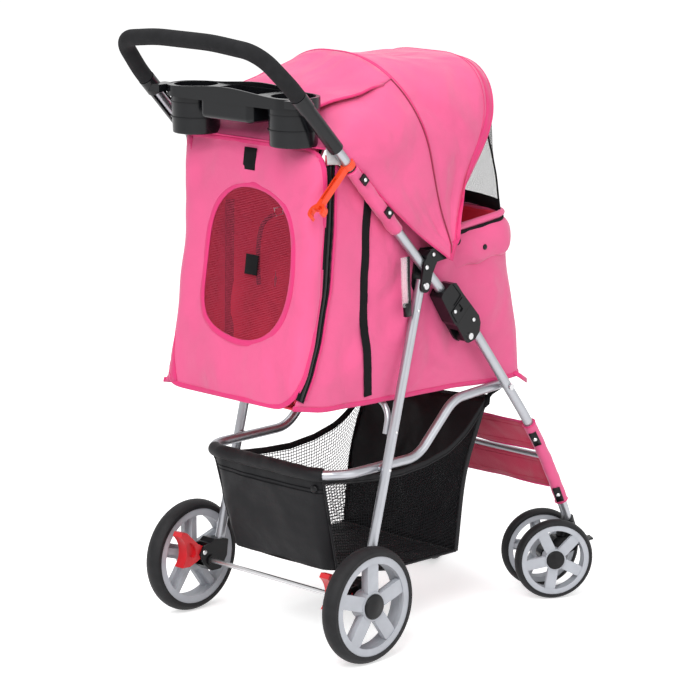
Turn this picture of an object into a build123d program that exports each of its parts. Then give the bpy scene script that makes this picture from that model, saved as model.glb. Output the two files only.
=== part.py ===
from build123d import *
import os
from math import cos, degrees, radians, sin, atan2

# A folding four-wheeled pet stroller: steel tube frame, fabric cabin with a canopy, and a basket.
# It is modelled with +X forward and +Z up, x = 0 at the rear axle and z = 0 on the floor, and the
# whole is moved at the end so that the origin lies under the middle of its length.
# The right-hand pieces (y < 0) are built, and the left-hand ones are their mirror images.

# ---------------------------------------------------------------- driving dimensions, mm and degrees

TUBE_D = 16.0                 # main frame tubes
TUBE_WALL = 1.2
THIN_TUBE_D = 10.0            # cross tubes
THIN_TUBE_WALL = 1.0
WIRE_D = 5.0                  # canopy bows and front hoop
FRAME_HALF_WIDTH = 171.0      # centre of the handle, front leg and rear leg tubes
BASKET_TUBE_GAP = 4.0         # between the rear legs and the basket tube
PIN_R = 3.0

RUNNING_FIT = 0.05            # radial clearance of pins, axles and sliding sleeves
SIDE_GAP = 0.3                # between faces that move past each other
SEAT_GAP = 0.3                # between a soft piece and the hard piece that carries it

REAR_WHEEL_R = 95.0
REAR_WHEEL_OFFSET = 34.6      # from the leg tubes out to the middle of the rear tyres
REAR_TYRE_WIDTH = 30.0
REAR_TYRE_DEPTH = 14.0
REAR_RIM_DEPTH = 12.0
REAR_HUB_R = 24.0
REAR_SPOKE_WIDTH = 24.0
REAR_AXLE_R = 4.0

CASTOR_WHEEL_R = 69.0
CASTOR_WHEEL_WIDTH = 22.0
CASTOR_TYRE_DEPTH = 9.0
CASTOR_RIM_DEPTH = 9.0
CASTOR_HUB_R = 18.5
CASTOR_SPOKE_WIDTH = 18.0
CASTOR_SPOKE_TURN = 44.0      # how far the castor wheels have rolled at rest
CASTOR_HALF_SPACING = 37.6
CASTOR_AXLE_R = 4.0
CASTOR_SWIVEL_X = 522.0
CASTOR_TRAIL = 32.0
CASTOR_YAW = -31.0            # how far the right castor has swivelled at rest
CASTOR_STEM_R = 5.0
CASTOR_SOCKET_BASE_Z = 98.0
CASTOR_SOCKET_R = 15.0

FOLD_PIVOT = (260.0, 488.0)   # x, z of the fold hinge between handle tube and front leg
HANDLE_PITCH = 46.7           # slope of the handle tubes
HANDLE_OFFSET = 15.4          # handle tube axis ahead of the fold pivot
LEG_PIVOT = (155.0, 585.0)    # rear leg on the handle tube bracket
REAR_LEG_FOOT = (29.0, 110.0)
BASKET_FRONT_PIVOT = (368.0, 385.0)
FRONT_LEG_BEND = (474.8, 249.4)
FRONT_LEG_FOOT = (532.2, 117.1)
FRONT_LEG_BEND_R = 1040.0
FRONT_LEG_TOP = (272.0, 508.0)
FRONT_CROSS_Z = 247.0         # height of the thin tube between the front legs
BASKET_TUBE_REAR_X = -28.0
BASKET_TUBE_Z = 296.0

BOW_PIVOT = (212.0, 631.0)    # canopy bows
FRONT_BOW_ANGLE = 65.0
MID_BOW_ANGLE = 104.0
CANOPY_FRONT_ANGLE = 60.0     # the canopy's front edge
REAR_EDGE_ANGLE = 137.0       # the canopy's rear edge, where it lies along the handle tubes
FRONT_BOW_REACH = 327.0
MID_BOW_REACH = 320.0

HANDLE_APEX_U = 677.0         # middle of the grip, along the tube from the fold pivot
HANDLE_SHOULDER_U = 586.0     # where the handle starts to close in
GRIP_START_U = 568.0
GRIP_D = 26.0

CABIN_REAR_TOP = (-50.0, 820.0)
CABIN_REAR_BOTTOM = (-108.0, 420.0)
CABIN_FLOOR_Z = 406.0
CABIN_FRONT_BOTTOM = (440.0, 395.0)
CABIN_FRONT_TOP = (381.0, 678.0)
CABIN_BOTTOM_INSET = 23.0     # from the frame tubes in to the cabin's sides
CABIN_TOP_INSET = 13.5
FABRIC = 2.5                  # thickness of padded fabric panels

BASKET_INSET = 16.0           # from the basket tube in to the basket's sides
BASKET_FLOOR_Z = 106.0
BASKET_CORNER_R = 52.0
BASKET_FRONT_TOP = (344.0, 336.0)
BASKET_FRONT_BOTTOM = (289.0, 108.0)
BASKET_REAR_BOTTOM = (22.0, 128.0)

TRAY_DECK_Z = 900.0
TRAY_RIM_RISE = 11.0          # how far the tray's rim stands over its deck in the middle
CUP_X = -67.0
CUP_INSET = 61.0              # from the frame tubes in to the cup holders
CUP_WELL_GAP = 51.0           # from a cup holder to the tray's middle well
CUP_BORE_R = 35.0
CUP_WALL = 2.5
CUP_BASE_Z = 826.0

# ---------------------------------------------------------------- planes and small helpers

SIDE = Plane.XZ                                    # world side view: local x = x, local y = z
UP_ALONG = (-cos(radians(HANDLE_PITCH)), 0, sin(radians(HANDLE_PITCH)))
UPPER = Plane(origin=(FOLD_PIVOT[0], 0, FOLD_PIVOT[1]), x_dir=UP_ALONG, z_dir=(0, 1, 0))

TUBE_R = TUBE_D / 2
THIN_TUBE_R = THIN_TUBE_D / 2
WIRE_R = WIRE_D / 2
STANDING = (Align.CENTER, Align.CENTER, Align.MIN)
TUBE_INNER_FACE = FRAME_HALF_WIDTH - TUBE_R        # |y| of the inner side of the frame tubes
BASKET_TUBE_HALF_WIDTH = FRAME_HALF_WIDTH - TUBE_D - BASKET_TUBE_GAP
BASKET_HALF_WIDTH = BASKET_TUBE_HALF_WIDTH - BASKET_INSET
REAR_WHEEL_HALF_TRACK = FRAME_HALF_WIDTH + REAR_WHEEL_OFFSET
CABIN_HALF_WIDTH_BOTTOM = FRAME_HALF_WIDTH - CABIN_BOTTOM_INSET
CABIN_HALF_WIDTH_TOP = FRAME_HALF_WIDTH - CABIN_TOP_INSET
CUP_CENTRE = (CUP_X, FRAME_HALF_WIDTH - CUP_INSET)  # x, y of the left cup holder


def side_point(x, z, y=0.0):
    return Vector(x, y, z)


def upper_point(u, v, y=0.0):
    """A point of the handle frame: u up along the tube, v square to it, both from the fold pivot."""
    origin = UPPER.origin
    along, across = UPPER.x_dir, UPPER.y_dir
    return Vector(origin.X + u * along.X + v * across.X, y, origin.Z + u * along.Z + v * across.Z)


def upper_coordinates(x, z):
    local = UPPER.to_local_coords(Vector(x, 0, z))
    return local.X, local.Y


def slab(plane, sketch, y_low, y_high):
    """Extrude a side-view sketch from y_low to y_high, whichever way its plane faces."""
    facing = plane.z_dir.Y
    return extrude(plane.offset(facing * y_low) * sketch, amount=y_high - y_low, dir=(0, 1, 0))


def rod(start, end, radius, bore=0.0):
    axis = Plane(origin=start, z_dir=end - start)
    section = Circle(radius) - Circle(bore) if bore else Circle(radius)
    return extrude(axis * section, amount=(end - start).length)


def cross_rod(x, z, y_low, y_high, radius, bore=0.0):
    return rod(side_point(x, z, y_low), side_point(x, z, y_high), radius, bore)


def swept_tube(path, radius, wall):
    section = Circle(radius) - Circle(radius - wall) if wall else Circle(radius)
    return sweep(Plane(origin=path @ 0, z_dir=path % 0) * section, path=path)


def bent_tube(points, radii, radius, wall=0.0):
    return swept_tube(FilletPolyline(*points, radius=radii), radius, wall)


def mirrored(shape):
    return mirror(shape, about=Plane.XZ)


def left_and_right(name, right_shape):
    return {name + "_right": right_shape, name + "_left": mirrored(right_shape)}


def pair(right_shape):
    """A piece and its mirror image as one node of two separate solids."""
    return Compound(children=[*right_shape.solids(), *mirrored(right_shape).solids()])


# ---------------------------------------------------------------- wheels

def wheel_rim(outer_r, ring_depth, hub_r, bore_r, width, spoke_width, turn=18.0, spokes=5):
    """A moulded rim about the Z axis: dished ring, hub barrel and flat spokes flush with its outer face."""
    inner_r = outer_r - ring_depth
    ring = revolve(
        Plane.XZ * Polygon(
            (inner_r, -width / 2), (outer_r, -width / 2), (outer_r, width / 2),
            (inner_r, width / 2), (outer_r - ring_depth * 0.75, 0), align=None,
        ), Axis.Z)
    rim = ring + Cylinder(hub_r, width)
    inner_end = hub_r * 0.6
    outer_end = outer_r - ring_depth * 0.45
    face = Pos((inner_end + outer_end) / 2, 0) * SlotOverall(outer_end - inner_end, spoke_width)
    back = Pos((inner_end + outer_end) / 2, 0) * Rectangle(outer_end - inner_end, spoke_width * 0.45)
    plate = Pos(0, 0, width * 0.12) * extrude(face, amount=width * 0.33)
    web = Pos(0, 0, -width * 0.3) * extrude(back, amount=width * 0.45)
    disc = Cylinder(outer_r - ring_depth * 0.3, width)
    for spoke in range(spokes):
        rim += Rot(0, 0, spoke * 360 / spokes + turn) * ((plate + web) & disc)
    return rim - Cylinder(bore_r, width * 2)


def tyre(outer_r, depth, width):
    """A solid tyre about the Z axis with a round tread and shoulders."""
    inner_r = outer_r - depth
    crown = depth * 0.55
    with BuildPart() as body:
        with BuildSketch(Plane.XZ):
            with BuildLine():
                Polyline((inner_r, -width / 2), (outer_r - crown, -width / 2))
                ThreePointArc((outer_r - crown, -width / 2), (outer_r, 0), (outer_r - crown, width / 2))
                Polyline((outer_r - crown, width / 2), (inner_r, width / 2), (inner_r, -width / 2))
            make_face()
        revolve(axis=Axis.Z)
    return body.part


def along_y(shape):
    """Turn a wheel built about Z so that it spins about Y, its outer face towards -Y."""
    return Rot(90, 0, 0) * shape


def rear_wheel_parts():
    rim_r = REAR_WHEEL_R - REAR_TYRE_DEPTH
    place = Pos(0, -REAR_WHEEL_HALF_TRACK, REAR_WHEEL_R)
    cap = Pos(0, 0, REAR_TYRE_WIDTH / 2 - 2) * Cylinder(REAR_HUB_R * 0.85, 3, align=STANDING)
    bore_r = REAR_AXLE_R + RUNNING_FIT
    rim = wheel_rim(rim_r, REAR_RIM_DEPTH, REAR_HUB_R, bore_r, REAR_TYRE_WIDTH - 3, REAR_SPOKE_WIDTH)
    return {
        "rear_tyre": place * along_y(tyre(REAR_WHEEL_R, REAR_TYRE_DEPTH, REAR_TYRE_WIDTH)),
        "rear_rim": place * along_y(rim + cap),
    }


# ---------------------------------------------------------------- castors

def castor_place():
    return Pos(CASTOR_SWIVEL_X, -FRAME_HALF_WIDTH, 0) * Rot(0, 0, CASTOR_YAW)


def castor_body():
    """Swivelling fork between the twin wheels, with its stem and wheel axle."""
    half_width = 13.0
    deck_top = CASTOR_SOCKET_BASE_Z - SIDE_GAP
    axle = (-CASTOR_TRAIL, CASTOR_WHEEL_R)
    profile = (
        Pos(*axle) * Circle(15)
        + Polygon((axle[0] - 14, axle[1] + 4), (axle[0] + 4, axle[1] - 14), (18, deck_top - 22),
                  (24, deck_top - 8), (16, deck_top), (-20, deck_top), align=None)
    )
    fork = extrude(Plane.XZ * profile, amount=half_width, both=True)
    window_plan = Pos(axle[0] + 20, axle[1] + 8) * SlotOverall(22, 9, rotation=30)
    window = extrude(Plane.XZ * window_plan, amount=half_width, both=True)
    stem = Pos(0, 0, deck_top - 2) * Cylinder(CASTOR_STEM_R, 12 + 2, align=STANDING)
    half_axle = CASTOR_HALF_SPACING + CASTOR_WHEEL_WIDTH / 2 - 3
    shaft = Pos(axle[0], 0, axle[1]) * Rot(90, 0, 0) * Cylinder(CASTOR_AXLE_R, 2 * half_axle)
    half_collar = CASTOR_HALF_SPACING - CASTOR_WHEEL_WIDTH / 2 - SIDE_GAP
    collar = Pos(axle[0], 0, axle[1]) * Rot(90, 0, 0) * Cylinder(7, 2 * half_collar)
    lever_slot = Pos(28, 0, deck_top - 9) * Box(32, 8 + 2 * SIDE_GAP, 20)
    pivot = Pos(*lever_pivot_local()) * Rot(90, 0, 0) * Cylinder(2 + RUNNING_FIT, 2 * half_width)
    return fork - window + stem + shaft + collar - lever_slot - pivot


def lever_pivot_local():
    return 18.0, 0.0, CASTOR_SOCKET_BASE_Z - 13.0


def castor_lever():
    """Foot lever that stops the castor from swivelling, on its own cross pin."""
    x, _, z = lever_pivot_local()
    blade = (
        Pos(x, z) * Circle(4.5)
        + Polygon((x - 1, z - 4.4), (x + 8, z - 2), (x + 29, z + 3), (x + 30, z + 6), (x + 10, z + 6),
                  (x - 3, z + 3.4), align=None)
    )
    arm = extrude(Plane.XZ * blade, amount=4, both=True)
    pad = Pos(x + 26, 0, z + 5) * Rot(0, -12, 0) * Box(9, 20, 3)
    pin = Pos(x, 0, z) * Rot(90, 0, 0) * Cylinder(2, 25)
    return arm + pad + pin


def castor_wheel_parts(side):
    """One wheel of a twin castor; side is +1 for the outer wheel and -1 for the inner one."""
    rim_r = CASTOR_WHEEL_R - CASTOR_TYRE_DEPTH
    turn = Rot(90, 0, 0) if side > 0 else Rot(-90, 0, 0)
    place = castor_place() * Pos(-CASTOR_TRAIL, -side * CASTOR_HALF_SPACING, CASTOR_WHEEL_R) * turn
    cap = Pos(0, 0, CASTOR_WHEEL_WIDTH / 2 - 2) * Cylinder(CASTOR_HUB_R * 0.85, 2.5, align=STANDING)
    bore_r = CASTOR_AXLE_R + RUNNING_FIT
    rim_width = CASTOR_WHEEL_WIDTH - 2
    rim = wheel_rim(
        rim_r, CASTOR_RIM_DEPTH, CASTOR_HUB_R, bore_r, rim_width, CASTOR_SPOKE_WIDTH, CASTOR_SPOKE_TURN)
    return place * tyre(CASTOR_WHEEL_R, CASTOR_TYRE_DEPTH, CASTOR_WHEEL_WIDTH), place * (rim + cap)


def castor_socket():
    """Fixed socket: an upright barrel for the swivel stem, run into a sleeve round the leg's end."""
    foot = side_point(*FRONT_LEG_FOOT, -FRAME_HALF_WIDTH)
    bend = side_point(*FRONT_LEG_BEND, -FRAME_HALF_WIDTH)
    up_leg = (bend - foot).normalized()
    base = Pos(CASTOR_SWIVEL_X, -FRAME_HALF_WIDTH, CASTOR_SOCKET_BASE_Z)
    barrel = base * Cylinder(CASTOR_SOCKET_R, 24, align=STANDING)
    sleeve = rod(foot - up_leg * 5, foot + up_leg * 12, TUBE_R + 3)
    leg_hole = swept_tube(front_leg_path(-FRAME_HALF_WIDTH), TUBE_R, 0)
    stem_hole = base * Pos(0, 0, -1) * Cylinder(CASTOR_STEM_R + RUNNING_FIT, 14, align=STANDING)
    return barrel + sleeve - leg_hole - stem_hole


# ---------------------------------------------------------------- front frame (the root)

def front_leg_path(y):
    points = [side_point(*FRONT_LEG_TOP, y), side_point(*FRONT_LEG_BEND, y), side_point(*FRONT_LEG_FOOT, y)]
    reach = min((points[1] - points[0]).length, (points[2] - points[1]).length) * 0.98
    turn = radians((points[1] - points[0]).get_angle(points[2] - points[1]))
    radius = min(FRONT_LEG_BEND_R, reach / abs(sin(turn / 2) / cos(turn / 2)))
    return FilletPolyline(*points, radius=radius)


def front_leg():
    """Curved leg tube; the basket tube's pin crosses it."""
    tube = swept_tube(front_leg_path(-FRAME_HALF_WIDTH), TUBE_R, TUBE_WALL)
    reach = TUBE_R + 1
    return tube - cross_rod(*BASKET_FRONT_PIVOT, -FRAME_HALF_WIDTH - reach, -FRAME_HALF_WIDTH + reach, PIN_R)


KNUCKLE_HALF = TUBE_R - 0.5   # half the knuckle's thickness between the hinge cheeks
CHEEK_INNER = TUBE_R + 0.8
CHEEK_OUTER = TUBE_R + 5.2
WEB_V = 33.5                  # the hinge housing's front wall starts here


def hinge_knuckle():
    """Moulded end piece on the leg: a cap with a plug in the tube's end, and an ear with the fold bore."""
    top = side_point(*FRONT_LEG_TOP)
    down_leg = (side_point(*FRONT_LEG_BEND) - top).normalized()
    leg = Plane(origin=top, x_dir=down_leg, z_dir=(0, -1, 0))      # local x down the leg, local y forwards
    pivot = leg.to_local_coords(side_point(*FOLD_PIVOT))
    swing_r = WEB_V - 2.0
    cap = Polygon((-8, -14), (-8, KNUCKLE_HALF), (-4, TUBE_R), (0, TUBE_R), (0, -4), (22, -5), (26, -11),
                  (pivot.X + 8, pivot.Y - 5), (pivot.X - 8, pivot.Y - 5), align=None)
    profile = (cap + Pos(pivot.X, pivot.Y) * Circle(10)) & Pos(pivot.X, pivot.Y) * Circle(swing_r)
    body = slab(leg, profile, -FRAME_HALF_WIDTH - KNUCKLE_HALF, -FRAME_HALF_WIDTH + KNUCKLE_HALF)
    tube_top = side_point(*FRONT_LEG_TOP, -FRAME_HALF_WIDTH)
    body -= rod(tube_top, tube_top + down_leg * 60, TUBE_R)
    body += rod(tube_top - down_leg * 2, tube_top + down_leg * 20, TUBE_R - TUBE_WALL)
    return body - cross_rod(*FOLD_PIVOT, -FRAME_HALF_WIDTH - 20, -FRAME_HALF_WIDTH + 20, PIN_R + RUNNING_FIT)


def front_cross_tube():
    x, z = leg_point_at(FRONT_CROSS_Z)
    return cross_rod(x, z, -TUBE_INNER_FACE, TUBE_INNER_FACE, THIN_TUBE_R, THIN_TUBE_R - THIN_TUBE_WALL)


def leg_point_at(z):
    """x, z of the front leg's axis at a height."""
    path = front_leg_path(0)
    low, high = 0.0, 1.0
    for _ in range(40):
        middle = (low + high) / 2
        if (path @ middle).Z > z:
            low = middle
        else:
            high = middle
    return (path @ low).X, (path @ low).Z


def foot_panel():
    """Fabric wind panel in two bands between the front legs, with a sleeve round each leg."""
    sleeve_r = TUBE_R + SEAT_GAP
    bands = []
    for top_z, bottom_z in ((312.0, 258.0), (240.0, 184.0)):
        (x1, z1), (x2, z2) = leg_point_at(top_z), leg_point_at(bottom_z)
        along = (side_point(x2, z2) - side_point(x1, z1)).normalized()
        outline = Plane(origin=side_point(x1, z1), x_dir=along, z_dir=(0, 1, 0)) * (
            Pos((x2 - x1) / along.X / 2, 0) * Rectangle((x2 - x1) / along.X, FABRIC))
        bands.append(extrude(outline, amount=FRAME_HALF_WIDTH, both=True))
    (x1, z1), (x2, z2) = leg_point_at(312.0), leg_point_at(247.0)
    x3, z3 = leg_point_at(164.0)
    panel = bands[0] + bands[1]
    for y in (-FRAME_HALF_WIDTH, FRAME_HALF_WIDTH):
        middle = side_point(x2, z2, y)
        panel += rod(side_point(x1, z1, y), middle, sleeve_r + FABRIC)
        panel += rod(middle, side_point(x3, z3, y), sleeve_r + FABRIC)
    leg_room = swept_tube(front_leg_path(-FRAME_HALF_WIDTH), sleeve_r, 0)
    tube_x, tube_z = leg_point_at(FRONT_CROSS_Z)
    tube_room = cross_rod(tube_x, tube_z, -FRAME_HALF_WIDTH, FRAME_HALF_WIDTH, THIN_TUBE_R + SEAT_GAP)
    return panel - leg_room - mirrored(leg_room) - tube_room


def basket_pins():
    """Pins through the front legs that carry the basket tube's front ends."""
    outer = -FRAME_HALF_WIDTH - TUBE_R - 2
    inner = -BASKET_TUBE_HALF_WIDTH + TUBE_R + 1
    head = cross_rod(*BASKET_FRONT_PIVOT, outer - 1, outer + 2, PIN_R * 1.8)
    return pair(cross_rod(*BASKET_FRONT_PIVOT, outer, inner, PIN_R) + head)


# ---------------------------------------------------------------- handle frame

def handle_path():
    """Crowned U in the plane of the handle tubes, from the right hinge round the grip to the left one."""
    right_half = [
        (TUBE_END_U, -FRAME_HALF_WIDTH), (HANDLE_SHOULDER_U, -FRAME_HALF_WIDTH),
        (HANDLE_APEX_U - 14, -FRAME_HALF_WIDTH + 16), (HANDLE_APEX_U, -62),
    ]
    plan = right_half + [(u, -y) for u, y in reversed(right_half)]
    points = [upper_point(u, HANDLE_OFFSET, y) for u, y in plan]
    return FilletPolyline(*points, radius=[150, 46, 300, 300, 46, 150])


TUBE_END_U = 27.0             # lower end of the handle tubes, in the hinge housing


def handle_tube():
    return swept_tube(handle_path(), TUBE_R, TUBE_WALL)


def grip_path():
    path = handle_path()
    length = path.length
    cut = (GRIP_START_U - TUBE_END_U) / length
    return path.trim(cut, 1 - cut)


def handle_grip():
    """Foam sleeve over the whole handle loop."""
    path = grip_path()
    return swept_tube(path, GRIP_D / 2, GRIP_D / 2 - TUBE_R)


HOUSING_TOP_U = 37.0
COLLAR_LENGTH = 16.0


def hinge_housing():
    """Moulded fork on the handle tube: two cheeks and a front wall round the leg's knuckle."""
    outline = Polygon(
        (HOUSING_TOP_U, -8), (4, -12.5), (-6, -10), (-14, 4), (-13.5, 20), (-4, 32), (8, WEB_V + 4),
        (HOUSING_TOP_U, WEB_V + 4), align=None)
    outline = fillet(outline.vertices().filter_by_position(Axis.X, -30, 5), 4)
    block = slab(UPPER, outline, -FRAME_HALF_WIDTH - CHEEK_OUTER, -FRAME_HALF_WIDTH + CHEEK_OUTER)
    room = Polygon((26.5, -30), (26.5, 25), (22, 30), (15, WEB_V), (-40, WEB_V), (-40, -30), align=None)
    block -= slab(UPPER, room, -FRAME_HALF_WIDTH - CHEEK_INNER, -FRAME_HALF_WIDTH + CHEEK_INNER)
    collar = rod(handle_axis(HOUSING_TOP_U - 2), handle_axis(HOUSING_TOP_U + COLLAR_LENGTH), TUBE_R + 3)
    tube_hole = rod(handle_axis(TUBE_END_U), handle_axis(HOUSING_TOP_U + 30), TUBE_R)
    pin_hole = cross_rod(*FOLD_PIVOT, -FRAME_HALF_WIDTH - 30, -FRAME_HALF_WIDTH + 30, PIN_R)
    return block + collar - tube_hole - pin_hole


def handle_axis(u, y=-FRAME_HALF_WIDTH):
    return upper_point(u, HANDLE_OFFSET, y)


def fold_pins():
    reach = CHEEK_OUTER + 2
    pin = cross_rod(*FOLD_PIVOT, -FRAME_HALF_WIDTH - reach, -FRAME_HALF_WIDTH + reach, PIN_R)
    centre = -FRAME_HALF_WIDTH
    head = cross_rod(*FOLD_PIVOT, centre - reach - 1, centre - CHEEK_OUTER, PIN_R * 1.8)
    tail = cross_rod(*FOLD_PIVOT, centre + CHEEK_OUTER, centre + reach, PIN_R * 1.6)
    return pair(pin + head + tail)


SLEEVE_LENGTH = 65.0
SLEEVE_TRAVEL = 18.0


def lock_sleeve():
    """Sliding cover on the handle tube: a boxed sleeve with a finger pocket, pulled up to free the hinge."""
    start = HOUSING_TOP_U + SIDE_GAP
    end = start + SLEEVE_LENGTH
    face = -FRAME_HALF_WIDTH - CHEEK_OUTER
    outline = Polygon(
        (start, -8.5), (start + 8, -9.5), (end - 2, 0), (end, 8), (end - 3, 30), (end - 12, 39),
        (start + 26, 37.5), (start, WEB_V + 4), align=None)
    outline = fillet(outline.vertices().filter_by_position(Axis.X, start + 20, end + 1), 3)
    body = slab(UPPER, outline, face, -FRAME_HALF_WIDTH + CHEEK_OUTER)
    step = Polygon((start + 3, -5), (start + 27, -2), (start + 25, 33), (start + 3, 34), align=None)
    body += slab(UPPER, fillet(step.vertices(), 2), face - 1.4, face)
    slot = Pos(start + 17, 16) * RectangleRounded(14, 8, 1.5)
    body -= slab(UPPER, slot, face - 2, face + 1)
    pocket = Pos(start + 44, 21) * RectangleRounded(30, 24, 3)
    body -= slab(UPPER, pocket, face - 1, face + 1.4)
    guide = rod(handle_axis(start - 5), handle_axis(end + 20), TUBE_R + RUNNING_FIT)
    collar_end = HOUSING_TOP_U + COLLAR_LENGTH + SIDE_GAP
    collar_room = rod(handle_axis(start - 5), handle_axis(collar_end), TUBE_R + 3 + SIDE_GAP)
    return body - guide - collar_room


BRACKET_INNER = TUBE_R + SIDE_GAP
BRACKET_INNER_CHEEK = 3.0
BRACKET_OUTER_CHEEK = 4.0


def tube_bracket():
    """Saddle on the handle tube: two cheeks that hold the rear leg and the canopy bows, and a bridge."""
    leg_u, leg_v = upper_coordinates(*LEG_PIVOT)
    bow_u, bow_v = upper_coordinates(*BOW_PIVOT)
    cheek = (
        Pos(leg_u, leg_v) * Circle(11)
        + Pos(bow_u, bow_v) * Circle(8)
        + Polygon((leg_u - 10, leg_v + 4), (leg_u + 9.5, leg_v - 5), (leg_u + 30, leg_v + 24),
                  (leg_u + 34, 38), (leg_u + 22, 50), (bow_u + 1, bow_v + 8), (bow_u - 8, bow_v - 1),
                  (leg_u + 8, 34), (leg_u + 2, 14), align=None)
    )
    centre = -FRAME_HALF_WIDTH
    outer = slab(UPPER, cheek, centre - BRACKET_INNER - BRACKET_OUTER_CHEEK, centre - BRACKET_INNER)
    inner = slab(UPPER, cheek, centre + BRACKET_INNER, centre + BRACKET_INNER + BRACKET_INNER_CHEEK)
    bridge_plan = Pos(leg_u + 29, HANDLE_OFFSET + TUBE_R + 7) * RectangleRounded(9, 14, 2)
    bridge = slab(UPPER, bridge_plan, centre - BRACKET_INNER - BRACKET_OUTER_CHEEK,
                  centre + BRACKET_INNER + BRACKET_INNER_CHEEK)
    body = outer + inner + bridge
    body -= cross_rod(*LEG_PIVOT, centre - 20, centre + 20, PIN_R)
    body -= cross_rod(*BOW_PIVOT, centre - 20, centre + 20, WIRE_R)
    return body


def bracket_pins():
    """Pins of the rear legs and canopy bows, and the rivets that hold each bracket on its tube."""
    centre = -FRAME_HALF_WIDTH
    outer = centre - BRACKET_INNER - BRACKET_OUTER_CHEEK
    inner = centre + BRACKET_INNER + BRACKET_INNER_CHEEK
    leg_pin = cross_rod(*LEG_PIVOT, outer, inner, PIN_R)
    leg_pin += cross_rod(*LEG_PIVOT, outer - 2.5, outer, PIN_R * 1.8)
    bow_pin = cross_rod(*BOW_PIVOT, outer, inner, WIRE_R)
    bow_pin += cross_rod(*BOW_PIVOT, outer - 2.5, outer, WIRE_R * 2)
    return pair(Compound(children=[leg_pin, bow_pin]))


def hanger_bars():
    """Flat bars riveted inside the brackets, which hang beside the cabin."""
    leg_u, leg_v = upper_coordinates(*LEG_PIVOT)
    outer_face = -FRAME_HALF_WIDTH + BRACKET_INNER + BRACKET_INNER_CHEEK
    top = upper_point(leg_u + 26, 30)
    outline = Polygon(
        (top.X - 5, top.Z), (top.X + 5, top.Z + 4), (top.X - 5, 556), (top.X - 15, 552), align=None)
    bar = slab(SIDE, outline, outer_face, outer_face + 3)
    tip = slab(SIDE, Pos(top.X - 10, 546) * RectangleRounded(13, 18, 4), outer_face - 0.5, outer_face + 3.8)
    return pair(bar + tip)


def tube_sleeves():
    """Fabric loops that hang the cabin from the handle tubes."""
    inner = TUBE_R + SEAT_GAP
    return pair(rod(handle_axis(251), handle_axis(398), inner + FABRIC, inner))


def snap_clips():
    clips = []
    for u in (296, 376):
        point = handle_axis(u, -FRAME_HALF_WIDTH - TUBE_R - SEAT_GAP - FABRIC - 2.3)
        clips.append(Plane(origin=point, x_dir=UP_ALONG, z_dir=(0, 1, 0)) * Box(16, 12, 4))
    return pair(Compound(children=clips))


# ---------------------------------------------------------------- drink tray

def cup(sign):
    """Outside of a cup holder: a slightly tapered pot with a rounded foot and two bands."""
    x, y = CUP_CENTRE[0], CUP_CENTRE[1] * sign
    outer_r = CUP_BORE_R + CUP_WALL
    pot = Cone(outer_r, outer_r + 3, TRAY_DECK_Z - CUP_BASE_Z, align=STANDING)
    pot = fillet(pot.edges().group_by(Axis.Z)[0], CUP_WALL * 0.9)
    for band_z in (26, 50):
        pot += Pos(0, 0, band_z) * Cylinder(outer_r + 3.0, 1.6)
    return Pos(x, y, CUP_BASE_Z) * pot


def cup_bore(sign):
    x, y = CUP_CENTRE[0], CUP_CENTRE[1] * sign
    return Pos(x, y, CUP_BASE_Z + CUP_WALL) * Cylinder(CUP_BORE_R, 120, align=STANDING)


def tray_rim_room():
    """What lies above the tray's arched rim, from side to side."""
    half = CUP_CENTRE[1] + 50
    low, high = TRAY_DECK_Z + 4, TRAY_DECK_Z + TRAY_RIM_RISE
    with BuildSketch(Plane.YZ, mode=Mode.PRIVATE) as above:
        with BuildLine():
            Spline((-half, low), (-half * 0.55, low + 1), (0, high), (half * 0.55, low + 1), (half, low))
            Polyline((half, low), (half, high + 40), (-half, high + 40), (-half, low))
        make_face()
    return extrude(above.sketch, amount=300, both=True)


def drink_tray():
    """Moulded tray between the handle tubes: cup holders, a middle well, a deep rim and clamping arms."""
    half_deck = CUP_CENTRE[1] + 42
    deck_plan = Pos(-70, 0) * RectangleRounded(84, 2 * half_deck, 38)
    deck = Pos(0, 0, TRAY_DECK_Z - 2) * extrude(deck_plan, amount=5)
    rim_plan = deck_plan - offset(deck_plan, -3)
    rim = Pos(0, 0, TRAY_DECK_Z - 14) * extrude(rim_plan, amount=14 + TRAY_RIM_RISE) - tray_rim_room()
    well_plan = Pos(-70, 0) * RectangleRounded(78, 2 * (CUP_CENTRE[1] - CUP_WELL_GAP), 12)
    well = Pos(0, 0, TRAY_DECK_Z - 42) * extrude(well_plan, amount=42)
    well = fillet(well.edges().group_by(Axis.Z)[0], 7)
    well_room = Pos(0, 0, TRAY_DECK_Z - 39) * extrude(offset(well_plan, -3), amount=80)
    body = deck + rim + well + cup(1) + cup(-1)
    for sign in (-1, 1):
        y = sign * FRAME_HALF_WIDTH
        neck = Pos(-100, sign * (TUBE_INNER_FACE - 9), TRAY_DECK_Z - 3) * Box(36, 26, 12)
        arm = rod(handle_axis(447, y), handle_axis(HANDLE_CLAMP_U, y), TUBE_R + 4)
        inner_side = sorted((sign * (FRAME_HALF_WIDTH - 3), sign * (FRAME_HALF_WIDTH - 40)))
        inboard = slab(UPPER, Pos(478, HANDLE_OFFSET) * Rectangle(120, 60), *inner_side)
        body += neck + (arm - inboard)
        body += rod(handle_axis(540, y), handle_axis(HANDLE_CLAMP_U, y), TUBE_R + 5.5)
    for sign in (-1, 1):
        y = sign * FRAME_HALF_WIDTH
        body -= rod(handle_axis(400, y), handle_axis(620, y), TUBE_R)
        body -= cup_bore(sign)
    return body - well_room


HANDLE_CLAMP_U = GRIP_START_U - 1


# ---------------------------------------------------------------- storage clip

CLIP_U = 410.0


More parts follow.
